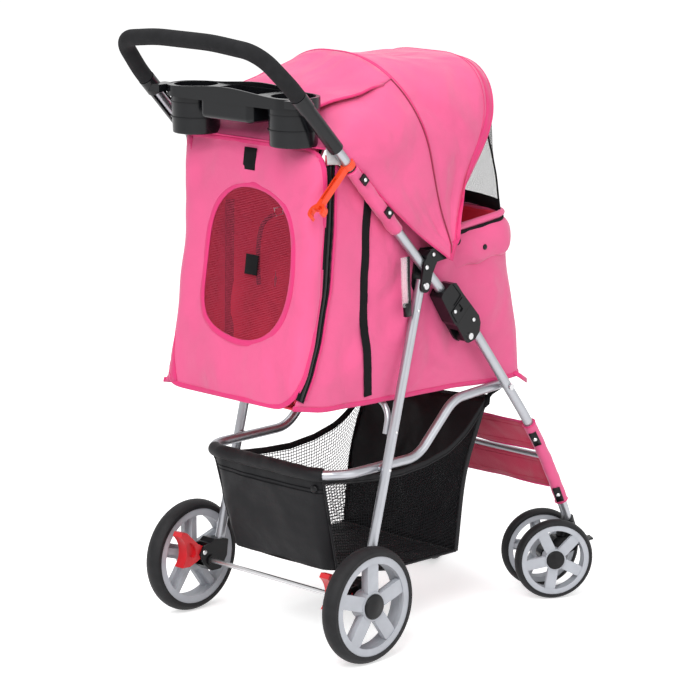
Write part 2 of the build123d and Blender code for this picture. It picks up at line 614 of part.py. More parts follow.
def storage_clip():
    """Catch that swings about the right handle tube and hooks the folded frame."""
    centre = handle_axis(CLIP_U)
    across = Plane(origin=centre, x_dir=UPPER.y_dir, z_dir=UPPER.x_dir)
    bore_r = TUBE_R + RUNNING_FIT
    ring = Circle(bore_r + 2.9)
    arm = Pos(-50, 0) * Rectangle(84, 9)
    slot = Pos(-52, 0) * SlotOverall(44, 4)
    hook = Pos(-96, -4) * (Circle(15) - Circle(10)) - Pos(-112, -12) * Rectangle(24, 20)
    profile = ring + arm + hook - slot - Circle(bore_r)
    return extrude(across * profile, amount=5, both=True)


# ---------------------------------------------------------------- rear frame

def rear_leg():
    foot = side_point(*REAR_LEG_FOOT, -FRAME_HALF_WIDTH)
    pivot = side_point(*LEG_PIVOT, -FRAME_HALF_WIDTH)
    up_leg = (pivot - foot).normalized()
    tube = rod(foot, pivot + up_leg * 9, TUBE_R, TUBE_R - TUBE_WALL)
    washer_end = -BASKET_TUBE_HALF_WIDTH - TUBE_R - SIDE_GAP
    washer = cross_rod(*basket_rear_pivot(), -TUBE_INNER_FACE - 1, washer_end, 7)
    washer -= rod(foot, pivot, TUBE_R - TUBE_WALL / 2)
    bore = cross_rod(*LEG_PIVOT, -FRAME_HALF_WIDTH - 20, -FRAME_HALF_WIDTH + 20, PIN_R + RUNNING_FIT)
    return tube + washer - bore


def basket_rear_pivot():
    """Where the basket tube crosses the rear leg: the pivot at which the linkage is opened."""
    (x1, z1), (x2, z2) = REAR_LEG_FOOT, LEG_PIVOT
    return x1 + (x2 - x1) * (BASKET_TUBE_Z - z1) / (z2 - z1), BASKET_TUBE_Z


HOUSING_HALF = 14.0           # half the thickness of the axle housing
BRAKE_PIVOT = (-14.0, 111.0)


def axle_housing():
    """Moulded foot on the rear leg: carries the axle and the brake lever."""
    axle = (0.0, REAR_WHEEL_R)
    outline = Polygon((-24, 108), (-16, 121), (0, 124), (8, 130), (40, 124), (36, 96), (22, 76), (2, 76),
                      (-14, 88), align=None)
    outline = fillet(outline.vertices(), 3)
    body = slab(SIDE, outline, -FRAME_HALF_WIDTH - HOUSING_HALF, -FRAME_HALF_WIDTH + HOUSING_HALF)
    body += cross_rod(*axle, -FRAME_HALF_WIDTH + HOUSING_HALF, -FRAME_HALF_WIDTH + HOUSING_HALF + 3, 9)
    hub_face = -REAR_WHEEL_HALF_TRACK + REAR_TYRE_WIDTH / 2 - 1.5 + SIDE_GAP
    body += cross_rod(*axle, hub_face, -FRAME_HALF_WIDTH - HOUSING_HALF, 9)
    foot = side_point(*REAR_LEG_FOOT, -FRAME_HALF_WIDTH)
    leg_hole = rod(foot, side_point(*LEG_PIVOT, -FRAME_HALF_WIDTH), TUBE_R)
    room_half = 10 + SIDE_GAP
    lever_plan = Pos(-22, 108) * Rectangle(38, 44)
    lever_room = slab(SIDE, lever_plan, -FRAME_HALF_WIDTH - room_half, -FRAME_HALF_WIDTH + room_half)
    axle_hole = cross_rod(*axle, -FRAME_HALF_WIDTH - 60, -FRAME_HALF_WIDTH + 60, REAR_AXLE_R)
    pin_hole = cross_rod(*BRAKE_PIVOT, -FRAME_HALF_WIDTH - 60, -FRAME_HALF_WIDTH + 60, 2.5 + RUNNING_FIT)
    return body - leg_hole - lever_room - axle_hole - pin_hole


def brake_lever():
    """Red foot brake: a flared pedal on a hub between the housing's cheeks, with its pin."""
    x, z = BRAKE_PIVOT
    with BuildSketch(mode=Mode.PRIVATE) as outline:
        with BuildLine():
            Polyline((x + 3, z + 8), (x - 12, z + 16), (x - 36, z + 39), (x - 46, z + 41), (x - 50, z + 34))
            ThreePointArc((x - 50, z + 34), (x - 37, z + 8), (x - 47, z - 19))
            Polyline((x - 47, z - 19), (x - 30, z - 20), (x - 2, z - 9), (x + 3, z + 8))
        make_face()
    centre = -FRAME_HALF_WIDTH
    blade = slab(SIDE, outline.sketch + Pos(x, z) * Circle(8.5), centre - 10, centre + 10)
    scoop = slab(SIDE, Pos(x - 27, z + 8) * Ellipse(9, 14, rotation=25), centre + 4, centre + 11)
    pin = cross_rod(x, z, centre - HOUSING_HALF, centre + HOUSING_HALF, 2.5)
    return blade - scoop + pin


def rear_axle():
    half = REAR_WHEEL_HALF_TRACK + REAR_TYRE_WIDTH / 2 - 4
    return cross_rod(0, REAR_WHEEL_R, -half, half, REAR_AXLE_R)


def rear_arch():
    """Thin arch between the rear legs, under the cabin floor."""
    end_x, end_z = 90.0, 350.0
    y = TUBE_INNER_FACE - THIN_TUBE_R
    crown = CABIN_FLOOR_Z - SEAT_GAP - THIN_TUBE_R
    points = [(end_x, -y, end_z), (end_x + 12, -y, crown), (end_x + 12, y, crown), (end_x, y, end_z)]
    return bent_tube([Vector(*p) for p in points], [34, 34], THIN_TUBE_R, THIN_TUBE_WALL)


# ---------------------------------------------------------------- basket

def basket_tube():
    """U-shaped tube that carries the basket, cranked up to the front legs."""
    y = BASKET_TUBE_HALF_WIDTH
    front_x, front_z = BASKET_FRONT_PIVOT
    side_run = [(front_x + 10, front_z), (front_x - 110, front_z - 7), (front_x - 196, BASKET_TUBE_Z),
                (BASKET_TUBE_REAR_X, BASKET_TUBE_Z)]
    points = [Vector(x, -y, z) for x, z in side_run] + [Vector(x, y, z) for x, z in reversed(side_run)]
    tube = bent_tube(points, [62, 62, 56, 56, 62, 62], TUBE_R, TUBE_WALL)
    for sign in (-1, 1):
        ends = sorted((sign * (y - 20), sign * (y + 20)))
        tube -= cross_rod(front_x, front_z, *ends, PIN_R + RUNNING_FIT)
    return tube


def basket_walls(top_z):
    """Side view between the basket's rear and front walls, from its floor up to a level top."""
    rear_top = (BASKET_TUBE_REAR_X + 6, BASKET_TUBE_Z - TUBE_R - SEAT_GAP)
    rear_slope = (BASKET_REAR_BOTTOM[0] - rear_top[0]) / (BASKET_REAR_BOTTOM[1] - rear_top[1])
    front_rise = BASKET_FRONT_TOP[1] - BASKET_FRONT_BOTTOM[1]
    front_slope = (BASKET_FRONT_TOP[0] - BASKET_FRONT_BOTTOM[0]) / front_rise
    return Polygon(
        (rear_top[0] + (top_z - rear_top[1]) * rear_slope, top_z), BASKET_REAR_BOTTOM,
        (BASKET_REAR_BOTTOM[0] + 30, BASKET_FLOOR_Z), BASKET_FRONT_BOTTOM,
        (BASKET_FRONT_TOP[0] + (top_z - BASKET_FRONT_TOP[1]) * front_slope, top_z), align=None)


def basket_plan_prism(inset):
    """Upright prism that rounds the tub's rear corners inside the bends of the basket tube."""
    rear = BASKET_TUBE_REAR_X + 5 + inset
    half = BASKET_HALF_WIDTH - inset
    plan = Polygon((rear, -half), (420, -half), (420, half), (rear, half), align=None)
    plan = fillet(plan.vertices().group_by(Axis.X)[0], BASKET_CORNER_R - inset)
    return extrude(plan, amount=500)


def basket():
    """Open fabric tub, low in the middle and high in front, hung by a hem round the tube's rear run."""
    rear_top = (BASKET_TUBE_REAR_X + 6, BASKET_TUBE_Z - 5)
    outer = slab(SIDE, basket_walls(BASKET_FRONT_TOP[1]), -BASKET_HALF_WIDTH, BASKET_HALF_WIDTH)
    outer = outer & basket_plan_prism(0)
    inner_walls = offset(basket_walls(BASKET_FRONT_TOP[1] + 60), -FABRIC)
    inner = slab(SIDE, inner_walls, -BASKET_HALF_WIDTH, BASKET_HALF_WIDTH) & basket_plan_prism(FABRIC)
    with BuildSketch(mode=Mode.PRIVATE) as above:
        with BuildLine():
            Spline(rear_top, (98, 272), (165, 271), (250, 288), BASKET_FRONT_TOP)
            Polyline(BASKET_FRONT_TOP, (400, 420), (-60, 420), (-60, rear_top[1]), rear_top)
        make_face()
    tub = outer - inner - slab(SIDE, above.sketch, -BASKET_HALF_WIDTH - 5, BASKET_HALF_WIDTH + 5)
    hem_half = BASKET_TUBE_HALF_WIDTH - 62
    hem_r = TUBE_R + SEAT_GAP
    hem = cross_rod(BASKET_TUBE_REAR_X, BASKET_TUBE_Z, -hem_half, hem_half, hem_r + FABRIC, hem_r)
    tube_room = cross_rod(BASKET_TUBE_REAR_X, BASKET_TUBE_Z, -200, 200, TUBE_R + SEAT_GAP)
    return tub - tube_room + hem


# ---------------------------------------------------------------- cabin

def cabin_tilt():
    widening = CABIN_HALF_WIDTH_TOP - CABIN_HALF_WIDTH_BOTTOM
    return degrees(atan2(widening, CABIN_REAR_TOP[1] - CABIN_REAR_BOTTOM[1]))


def cabin_half_width(z):
    rise = (CABIN_HALF_WIDTH_TOP - CABIN_HALF_WIDTH_BOTTOM) / (CABIN_REAR_TOP[1] - CABIN_REAR_BOTTOM[1])
    return CABIN_HALF_WIDTH_BOTTOM + rise * (z - CABIN_REAR_BOTTOM[1])


def cabin_side():
    """Right side panel: it leans out a little and ends below the handle tube and the front hoop."""
    shift = (FABRIC + SEAT_GAP)
    outline = Polygon(
        CABIN_REAR_BOTTOM, CABIN_REAR_TOP, (-30, 824), (BOW_PIVOT[0] - 6, BOW_PIVOT[1] + 8), (252, 670),
        CABIN_FRONT_TOP, (CABIN_FRONT_BOTTOM[0] - 6, CABIN_FRONT_BOTTOM[1] + 22), CABIN_FRONT_BOTTOM,
        (300, CABIN_FLOOR_Z - shift), (-40, CABIN_FLOOR_Z), align=None)
    upright = slab(SIDE, outline, -CABIN_HALF_WIDTH_BOTTOM, -CABIN_HALF_WIDTH_BOTTOM + FABRIC)
    hinge_line = Axis((0, -CABIN_HALF_WIDTH_BOTTOM, CABIN_REAR_BOTTOM[1]), (1, 0, 0))
    return upright.rotate(hinge_line, cabin_tilt())


def cross_panel(bottom, top, thickness, half_bottom, half_top, radius=0.0):
    """A flat panel across the cabin between two side-view points, tapered in width."""
    rise = Vector(top[0] - bottom[0], 0, top[1] - bottom[1])
    plane = Plane(origin=(bottom[0], 0, bottom[1]), x_dir=(0, 1, 0), z_dir=Vector(0, 1, 0).cross(rise))
    face = Polygon(
        (-half_bottom, 0), (half_bottom, 0), (half_top, rise.length), (-half_top, rise.length), align=None)
    if radius:
        face = fillet(face.vertices(), radius)
    return extrude(plane * face, amount=thickness)


def cabin_front():
    inner = FABRIC + SEAT_GAP
    low, high = CABIN_FRONT_BOTTOM, CABIN_FRONT_TOP
    half_low, half_high = cabin_half_width(low[1]) - inner, cabin_half_width(high[1]) - inner
    return cross_panel((low[0] - 8, low[1] + 26), high, FABRIC, half_low, half_high)


def cabin_floor():
    """Padded floor board, which rests on the rear arch and hangs from the side panels."""
    half = cabin_half_width(CABIN_FLOOR_Z) - FABRIC - SEAT_GAP
    rear = CABIN_REAR_BOTTOM[0] + 12
    front = CABIN_FRONT_BOTTOM[0] - 14
    return Pos((rear + front) / 2, 0, CABIN_FLOOR_Z) * Box(front - rear, 2 * half, 6, align=STANDING)


def rear_door():
    """Zipped rear panel, hung at its top edge."""
    inner = FABRIC + 2 * SEAT_GAP
    low, high = (CABIN_REAR_BOTTOM[0], CABIN_REAR_BOTTOM[1] + 4), CABIN_REAR_TOP
    half_low, half_high = cabin_half_width(low[1]) - inner, cabin_half_width(high[1]) - inner
    return cross_panel(low, high, FABRIC, half_low, half_high)


def front_hoop():
    """Wire hoop that stiffens the cabin's front rim and is pinned on the brackets."""
    y = cabin_half_width(CABIN_FRONT_TOP[1]) - FABRIC - WIRE_R - 4 * SEAT_GAP
    start_x, start_z = BOW_PIVOT[0] + 6, BOW_PIVOT[1]
    rim_x, rim_z = CABIN_FRONT_TOP[0] - 8, CABIN_FRONT_TOP[1] - 5
    side_run = [(start_x, start_z), (start_x + 34, rim_z - 4), (rim_x, rim_z)]
    points = [Vector(x, -y, z) for x, z in side_run] + [Vector(x, y, z) for x, z in reversed(side_run)]
    return bent_tube(points, [20, 28, 28, 20], WIRE_R)


# ---------------------------------------------------------------- canopy

FRONT_BOW_Y = FRAME_HALF_WIDTH - 5.1
MID_BOW_Y = FRAME_HALF_WIDTH + 1.0
FRONT_BOW_CORNER = FRONT_BOW_Y - 35.9
MID_BOW_CORNER = MID_BOW_Y - 12.0
BOW_EYE_HALF = WIRE_R + 0.4   # half the thickness of the eye at each end of a bow
BOW_CLEAR = WIRE_R + 2 * SEAT_GAP   # from a bow's centreline to the cloth over it
# half-width, reach and corner radius of the canopy's front edge, which stands 5 mm proud of the bow
CANOPY_FRONT_EDGE = (FRONT_BOW_Y + BOW_CLEAR, FRONT_BOW_REACH + BOW_CLEAR + 5, FRONT_BOW_CORNER + 2)
WINDOW_HALF_WIDTH = CABIN_HALF_WIDTH_TOP - 10.5     # half the front window's width


def bow_plane(angle):
    """Plane of a bow: local x across the stroller, local y away from the bow pivot."""
    reach = Vector(cos(radians(angle)), 0, sin(radians(angle)))
    return Plane(origin=(BOW_PIVOT[0], 0, BOW_PIVOT[1]), x_dir=(0, 1, 0), z_dir=Vector(0, 1, 0).cross(reach))


def canopy_bow(angle, half_width, reach, corner):
    """Wire bow with an eye at each end on the bracket pins."""
    plane = bow_plane(angle)
    plan = [(-half_width, 4.5), (-half_width, reach), (half_width, reach), (half_width, 4.5)]
    wire = bent_tube([plane.from_local_coords(Vector(x, y, 0)) for x, y in plan], [corner, corner], WIRE_R)
    for sign in (-1, 1):
        ends = sorted((sign * half_width - BOW_EYE_HALF, sign * half_width + BOW_EYE_HALF))
        wire += cross_rod(*BOW_PIVOT, *ends, 6)
    for sign in (-1, 1):
        ends = sorted((sign * (half_width - 9), sign * (half_width + 9)))
        wire -= cross_rod(*BOW_PIVOT, *ends, WIRE_R + RUNNING_FIT)
    return wire


def hood_section(angle, half_width, reach, corner, start):
    profile = Polygon(
        (-half_width, start), (half_width, start), (half_width, reach), (-half_width, reach), align=None)
    profile = fillet(profile.vertices().group_by(Axis.Y)[-1], corner)
    return bow_plane(angle) * profile


def hood(sections, start):
    """Thin shell ruled over bow-shaped sections, each an angle, half-width, reach and corner radius."""
    inner = [hood_section(*section, start) for section in sections]
    outer = [hood_section(angle, half + FABRIC, reach + FABRIC, corner + FABRIC, start)
             for angle, half, reach, corner in sections]
    return loft(Sketch() + outer, ruled=True) - loft(Sketch() + inner, ruled=True)


def canopy():
    """Taut hood over the bows, open below and at the front."""
    return hood([
        (CANOPY_FRONT_ANGLE, *CANOPY_FRONT_EDGE),
        (FRONT_BOW_ANGLE, FRONT_BOW_Y + BOW_CLEAR, FRONT_BOW_REACH + BOW_CLEAR, FRONT_BOW_CORNER + 2),
        (MID_BOW_ANGLE, MID_BOW_Y + BOW_CLEAR, MID_BOW_REACH + BOW_CLEAR, MID_BOW_CORNER - 2),
        (REAR_EDGE_ANGLE, MID_BOW_Y + BOW_CLEAR, MID_BOW_REACH - 12, MID_BOW_CORNER - 10),
    ], 22)


def canopy_window():
    """Mesh between the canopy's front edge and the cabin's front rim, open at its sides."""
    seam_angle = degrees(SEAT_GAP / FRONT_BOW_REACH)
    rim_half = cabin_half_width(CABIN_FRONT_TOP[1]) + SEAT_GAP
    rim_x = CABIN_FRONT_TOP[0] + FABRIC + SEAT_GAP
    rim_z = CABIN_FRONT_TOP[1] + 8
    rise = degrees(atan2(rim_z - BOW_PIVOT[1], rim_x - BOW_PIVOT[0]))
    reach = Vector(rim_x - BOW_PIVOT[0], rim_z - BOW_PIVOT[1]).length
    full = hood([
        (rise, rim_half, reach, 30),
        (CANOPY_FRONT_ANGLE - seam_angle, *CANOPY_FRONT_EDGE),
    ], 40)
    return full & Pos(BOW_PIVOT[0] + reach, 0, rim_z) * Box(400, 2 * WINDOW_HALF_WIDTH, 600)


# ---------------------------------------------------------------- assembly

def build_nodes():
    nodes = {}
    nodes.update(left_and_right("front_leg", front_leg()))
    nodes.update(left_and_right("hinge_knuckle", hinge_knuckle()))
    nodes.update(left_and_right("castor_socket", castor_socket()))
    nodes["front_cross_tube"] = front_cross_tube()
    nodes["foot_panel"] = foot_panel()
    nodes["basket_pins"] = basket_pins()

    nodes["handle_tube"] = handle_tube()
    nodes["handle_grip"] = handle_grip()
    nodes.update(left_and_right("hinge_housing", hinge_housing()))
    nodes["fold_pins"] = fold_pins()
    nodes.update(left_and_right("tube_bracket", tube_bracket()))
    nodes["bracket_pins"] = bracket_pins()
    nodes["hanger_bars"] = hanger_bars()
    nodes["tube_sleeves"] = tube_sleeves()
    nodes["snap_clips"] = snap_clips()
    nodes["drink_tray"] = drink_tray()
    nodes.update(left_and_right("lock_sleeve", lock_sleeve()))
    nodes["storage_clip"] = storage_clip()

    nodes.update(left_and_right("cabin_side", cabin_side()))
    nodes["cabin_front"] = cabin_front()
    nodes["cabin_floor"] = cabin_floor()
    nodes["rear_door"] = rear_door()
    nodes["front_hoop"] = front_hoop()
    nodes["canopy"] = canopy()
    nodes["canopy_window"] = canopy_window()
    nodes["canopy_bow_front"] = canopy_bow(FRONT_BOW_ANGLE, FRONT_BOW_Y, FRONT_BOW_REACH, FRONT_BOW_CORNER)
    nodes["canopy_bow_mid"] = canopy_bow(MID_BOW_ANGLE, MID_BOW_Y, MID_BOW_REACH, MID_BOW_CORNER)

    nodes.update(left_and_right("rear_leg", rear_leg()))
    nodes.update(left_and_right("axle_housing", axle_housing()))
    nodes.update(left_and_right("brake_lever", brake_lever()))
    nodes["rear_axle"] = rear_axle()
    nodes["rear_arch"] = rear_arch()
    for name, shape in rear_wheel_parts().items():
        nodes.update(left_and_right(name, shape))

    nodes["basket_tube"] = basket_tube()
    nodes["basket"] = basket()

    nodes.update(left_and_right("castor_body", castor_place() * castor_body()))
    nodes.update(left_and_right("castor_lever", castor_place() * castor_lever()))
    for wheel, side in (("outer", 1), ("inner", -1)):
        rubber, rim = castor_wheel_parts(side)
        nodes.update(left_and_right(f"castor_tyre_{wheel}", rubber))
        nodes.update(left_and_right(f"castor_rim_{wheel}", rim))
    return nodes


def centre_offset(nodes):
    """How far the whole is moved along X to put the origin under the middle of its length."""
    boxes = [shape.bounding_box() for shape in nodes.values()]
    return -(min(box.min.X for box in boxes) + max(box.max.X for box in boxes)) / 2


NODES = build_nodes()
X_SHIFT = centre_offset(NODES)
os.makedirs("parts", exist_ok=True)
for node_name, node_shape in NODES.items():
    export_step(Pos(X_SHIFT, 0, 0) * node_shape, f"parts/{node_name}.step")
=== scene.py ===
"""Looks of a folding pet stroller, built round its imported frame.

Every class below stands for one sub-assembly. Sizes are dataclass fields in millimetres. Stations are
measured in the stroller's own side view: x forward from the rear axle, y to the left, z up from the floor.
"""

import logging
import math
from dataclasses import dataclass
from enum import Enum
from typing import Callable, Iterable, Optional, Sequence

import bpy
import numpy as np
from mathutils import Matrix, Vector, noise


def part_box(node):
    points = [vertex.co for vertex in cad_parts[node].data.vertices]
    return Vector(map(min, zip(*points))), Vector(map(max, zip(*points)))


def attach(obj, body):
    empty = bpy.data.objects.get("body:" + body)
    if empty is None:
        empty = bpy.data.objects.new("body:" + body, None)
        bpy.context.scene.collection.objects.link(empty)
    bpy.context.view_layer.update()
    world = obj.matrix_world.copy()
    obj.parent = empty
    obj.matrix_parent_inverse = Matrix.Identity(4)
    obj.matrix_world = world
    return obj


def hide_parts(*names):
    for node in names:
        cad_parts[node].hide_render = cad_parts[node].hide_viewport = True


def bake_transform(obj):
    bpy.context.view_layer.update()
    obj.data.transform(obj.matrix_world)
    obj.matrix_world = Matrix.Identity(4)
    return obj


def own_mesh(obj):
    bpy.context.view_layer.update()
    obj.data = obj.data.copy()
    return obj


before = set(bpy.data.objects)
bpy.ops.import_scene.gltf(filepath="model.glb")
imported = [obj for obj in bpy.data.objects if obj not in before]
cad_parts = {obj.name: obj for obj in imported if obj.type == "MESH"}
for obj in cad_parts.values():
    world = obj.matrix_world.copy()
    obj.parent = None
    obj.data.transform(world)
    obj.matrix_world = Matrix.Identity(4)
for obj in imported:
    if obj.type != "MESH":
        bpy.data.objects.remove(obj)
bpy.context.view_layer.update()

LOG = logging.getLogger("stroller")
MM = 0.001
AXLE_X = sum(corner.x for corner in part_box("rear_axle")) / 2
SIDES = (("right", -1), ("left", 1))
TINY = 1e-9
TUBE_BACK, TUBE_UP = 0.6858, 0.7278

Points = np.ndarray
Pair = tuple[float, float]
Triple = tuple[float, float, float]
Piece = bpy.types.Object
Socket = bpy.types.NodeSocket
Material = bpy.types.Material


# ---------------------------------------- geometry


def to_frame(points: Points) -> Points:
    """Turn stroller stations in millimetres into the frame's metres.

    Args:
        points: Stations.

    Returns:
        The same places in the frame.
    """
    moved = np.asarray(points, float) * MM
    moved[..., 0] += AXLE_X
    return moved


def rows(*points: Sequence[float]) -> Points:
    """Write points as an array."""
    return np.array(points, float)


def resampled(line: Points, count: int) -> Points:
    """Space points evenly along a polyline.

    Args:
        line: The polyline.
        count: How many points come back.

    Returns:
        The evenly spaced points.
    """
    steps = np.linalg.norm(np.diff(line, axis=0), axis=1)
    run = np.concatenate([[0], np.cumsum(steps)])
    at = np.linspace(0, run[-1], count)
    return np.stack([np.interp(at, run, line[:, k]) for k in range(line.shape[1])], axis=1)


def through(points: Points, count: int, closed: bool = False) -> Points:
    """Run a smooth curve through points, evenly spaced along its length.

    Args:
        points: The points that the curve passes.
        count: How many points come back.
        closed: Whether the curve returns to its first point.

    Returns:
        The sampled curve.
    """
    p = np.asarray(points, float)
    before, after = (p[-1:], p[:2]) if closed else (2 * p[:1] - p[1:2], 2 * p[-1:] - p[-2:-1])
    p = np.vstack([before, p, after])
    fine = []
    t = np.linspace(0, 1, 13)[:-1, None]
    for a, b, c, d in zip(p[:-3], p[1:-2], p[2:-1], p[3:]):
        fine.append(0.5 * (2 * b + (c - a) * t + (2 * a - 5 * b + 4 * c - d) * t**2 + (3 * b - 3 * c + d - a) * t**3))
    fine.append(p[-2][None])
    line = resampled(np.vstack(fine), count + 1 if closed else count)
    return line[:-1] if closed else line


def mirrored(points: Points) -> Points:
    """The same points on the stroller's other side."""
    return points * np.array([1, -1, 1])


def blended(a: Points, b: Points, t: float) -> Points:
    """Points a share t of the way from a to b."""
    return a + (b - a) * t


def ease(t: float) -> float:
    """Smooth step from 0 to 1."""
    t = min(max(t, 0.0), 1.0)
    return t * t * (3 - 2 * t)


def unit(vectors: Points) -> Points:
    """Vectors of length 1 in the same directions."""
    return vectors / np.maximum(np.linalg.norm(vectors, axis=-1, keepdims=True), TINY)


def normals_of(grid: Points) -> Points:
    """Unit normals of a grid of points, from its rows and columns."""
    return unit(np.cross(np.gradient(grid, axis=0), np.gradient(grid, axis=1)))


def creases(points: Points, size: float, seed: float) -> Points:
    """Soft uneven height for cloth at each point, from -1 to 1.

    Args:
        points: Grid of stations.
        size: Rough distance between folds.
        seed: Moves the pattern, so that two panels differ.

    Returns:
        One height for each point.
    """
    flat = points.reshape(-1, 3) / size + seed
    heights = [noise.noise(Vector(p)) + 0.4 * noise.noise(Vector(p * 2.3)) for p in flat]
    return np.array(heights).reshape(points.shape[:-1])


def creased(grid: Points, size: float, seed: float, depth: float, stretch: Triple = (1, 1, 1)) -> Points:
    """Fold a grid softly along its normals: creases times a depth, closer together where stretched."""
    return grid + normals_of(grid) * (creases(grid * np.array(stretch), size, seed) * depth)[..., None]


def laid(high: int, wide: int, place: Callable[[float, float], Sequence[float]]) -> Points:
    """Lay a grid by a rule that gives the station at a share of its rows and of its columns."""
    return np.array([[place(t, s) for s in np.linspace(0, 1, wide)] for t in np.linspace(0, 1, high)], float)


def new_object(name: str, points: Points, faces: Iterable[Sequence[int]]) -> Piece:
    """Make a smooth mesh object.

    Args:
        name: Its name.
        points: Its vertices as stations.
        faces: Its faces.

    Returns:
        The new object.
    """
    mesh = bpy.data.meshes.new(name)
    mesh.from_pydata([tuple(p) for p in to_frame(points.reshape(-1, 3))], [], [tuple(f) for f in faces])
    mesh.validate()
    mesh.polygons.foreach_set("use_smooth", [True] * len(mesh.polygons))
    return linked(name, mesh)


def linked(name: str, data: bpy.types.ID) -> Piece:
    """Put a mesh, lamp or camera into the scene.

    Args:
        name: The object's name.
        data: What it shows.

    Returns:
        The new object.
    """
    piece = bpy.data.objects.new(name, data)
    bpy.context.scene.collection.objects.link(piece)
    return piece


def grid_faces(high: int, wide: int, closed: bool = False) -> list[tuple[int, ...]]:
    """Quads of a grid of points.

    Args:
        high: Number of rows.
        wide: Number of columns.
        closed: Whether the last column joins the first.

    Returns:
        The quads' vertex numbers.
    """
    faces = []
    for r in range(high - 1):
        for c in range(wide if closed else wide - 1):
            n = (c + 1) % wide
            faces.append((r * wide + c, r * wide + n, (r + 1) * wide + n, (r + 1) * wide + c))
    return faces


def tube(name: str, rings: Points) -> Piece:
    """Make a closed piece from rings of points, with both ends capped.

    Args:
        name: The piece's name.
        rings: Rows of points, each a closed ring.

    Returns:
        The new object.
    """
    count, wide = rings.shape[:2]
    caps = [tuple(range(wide))[::-1], tuple(range((count - 1) * wide, count * wide))]
    return new_object(name, rings, grid_faces(count, wide, closed=True) + caps)


def net(name: str, grid: Points) -> Piece:
    """Make a single layer of cloth from a grid, with a UV map in metres, so that its weave lies straight.

    Args:
        name: The piece's name.
        grid: Rows and columns of stations.

    Returns:
        The new object.
    """
    piece = new_object(name, grid, grid_faces(*grid.shape[:2]))
    across = np.linalg.norm(np.diff(grid, axis=1), axis=-1).mean(axis=0)
    along = np.linalg.norm(np.diff(grid, axis=0), axis=-1).mean(axis=1)
    u, v = (np.concatenate([[0], np.cumsum(steps)]) * MM for steps in (across, along))
    layer = piece.data.uv_layers.new(name="cloth")
    for loop in piece.data.loops:
        r, c = divmod(loop.vertex_index, grid.shape[1])
        layer.data[loop.index].uv = (u[c], v[r])
    return piece


def thickened(piece: Piece, thickness: float, outward: float) -> Piece:
    """Give a layer its thickness.

    Args:
        piece: The layer.
        thickness: In millimetres.
        outward: 1 puts the thickness behind the layer, -1 before it, 0 half each way.

    Returns:
        The same object.
    """
    solid = piece.modifiers.new("thickness", "SOLIDIFY")
    solid.thickness = thickness * MM
    solid.offset = -outward
    return piece


def sheet(name: str, grid: Points, thickness: float = 1.2, outward: float = 1.0) -> Piece:
    """Make a cloth sheet and note the flat size that it was cut to.

    Args:
        name: The piece's name.
        grid: Rows and columns of stations.
        thickness: In millimetres.
        outward: See thickened.

    Returns:
        The new object.
    """
    piece = thickened(net(name, grid), thickness, outward)
    piece["flat"] = [
        float(np.linalg.norm(np.diff(grid, axis=axis), axis=-1).sum(axis=axis).mean()) * MM for axis in (1, 0)
    ]
    return piece


def ring_profile(radius: float, count: int = 10, flat: float = 1.0) -> Points:
    """Round or flattened cross-section for a swept piece."""
    turn = np.linspace(0, 2 * math.pi, count, endpoint=False)
    return np.stack([np.cos(turn) * radius, np.sin(turn) * radius * flat], axis=1)


def box_profile(width: float, height: float) -> Points:
    """Rectangular cross-section with slightly eased corners."""
    w, h, e = width / 2, height / 2, min(width, height) * 0.2
    return rows((-w + e, -h), (w - e, -h), (w, -h + e), (w, h - e), (w - e, h), (-w + e, h), (-w, h - e), (-w, -h + e))


def edge_profile(height: float, width: float) -> Points:
    """Rectangular cross-section that stands on its edge."""
    return box_profile(height, width)[:, ::-1]


def swept_points(path: Points, profile: Points, out: Optional[Sequence] = None, closed: bool = False) -> Points:
    """Carry a cross-section along a path.

    Args:
        path: Stations along the middle of the piece.
        profile: Cross-section: first number sideways, second along the outward direction.
        out: One outward direction, one for each path point, or None for the least twist.
        closed: Whether the path returns to its start.

    Returns:
        Rows of cross-section points.
    """
    tangent = unit(np.roll(path, -1, axis=0) - np.roll(path, 1, axis=0) if closed else np.gradient(path, axis=0))
    outs = None if out is None else np.broadcast_to(np.array(out, float), path.shape)
    up = np.array([0.0, 0.0, 1.0]) if abs(tangent[0][2]) < 0.9 else np.array([1.0, 0.0, 0.0])
    sections = []
    for i, (point, t) in enumerate(zip(path, tangent)):
        up = up if outs is None else outs[i]
        up = unit(up - t * up.dot(t))
        sections.append(point + profile[:, :1] * np.cross(t, up) + profile[:, 1:] * up)
    return np.array(sections)


def sweep(name: str, path: Points, profile: Points, out: Optional[Sequence] = None, closed: bool = False) -> Piece:
    """Make a swept piece, with closed ends or joined to its start.

    Args:
        name: The piece's name.
        path: See swept_points.
        profile: See swept_points.
        out: See swept_points.
        closed: Whether the path returns to its start.

    Returns:
        The new object.
    """
    rings = swept_points(path, profile, out, closed)
    if not closed:
        return tube(name, rings)
    count, wide = rings.shape[:2]
    last = (count - 1) * wide
    seam = [(last + (c + 1) % wide, (c + 1) % wide, c, last + c) for c in range(wide)]
    return new_object(name, rings, grid_faces(count, wide, closed=True) + seam)


def lathe(name: str, centre: Sequence[float], axis: Sequence[float], profile: Points, count: int) -> Piece:
    """Turn a profile round an axis.

    Args:
        name: The piece's name.
        centre: Station on the axis where heights start.
        axis: The axis's direction.
        profile: Rows of (radius, height).
        count: Points round the axis.

    Returns:
        The new object.
    """
    a = unit(np.array(axis, float))
    side = unit(np.cross(a, [0.0, 0.0, 1.0] if abs(a[2]) < 0.9 else [1.0, 0.0, 0.0]))
    turn = np.linspace(0, 2 * math.pi, count, endpoint=False)[:, None]
    ring = np.cos(turn) * side + np.sin(turn) * np.cross(a, side)
    return tube(name, np.array([np.array(centre) + r * ring + a * h for r, h in profile]))


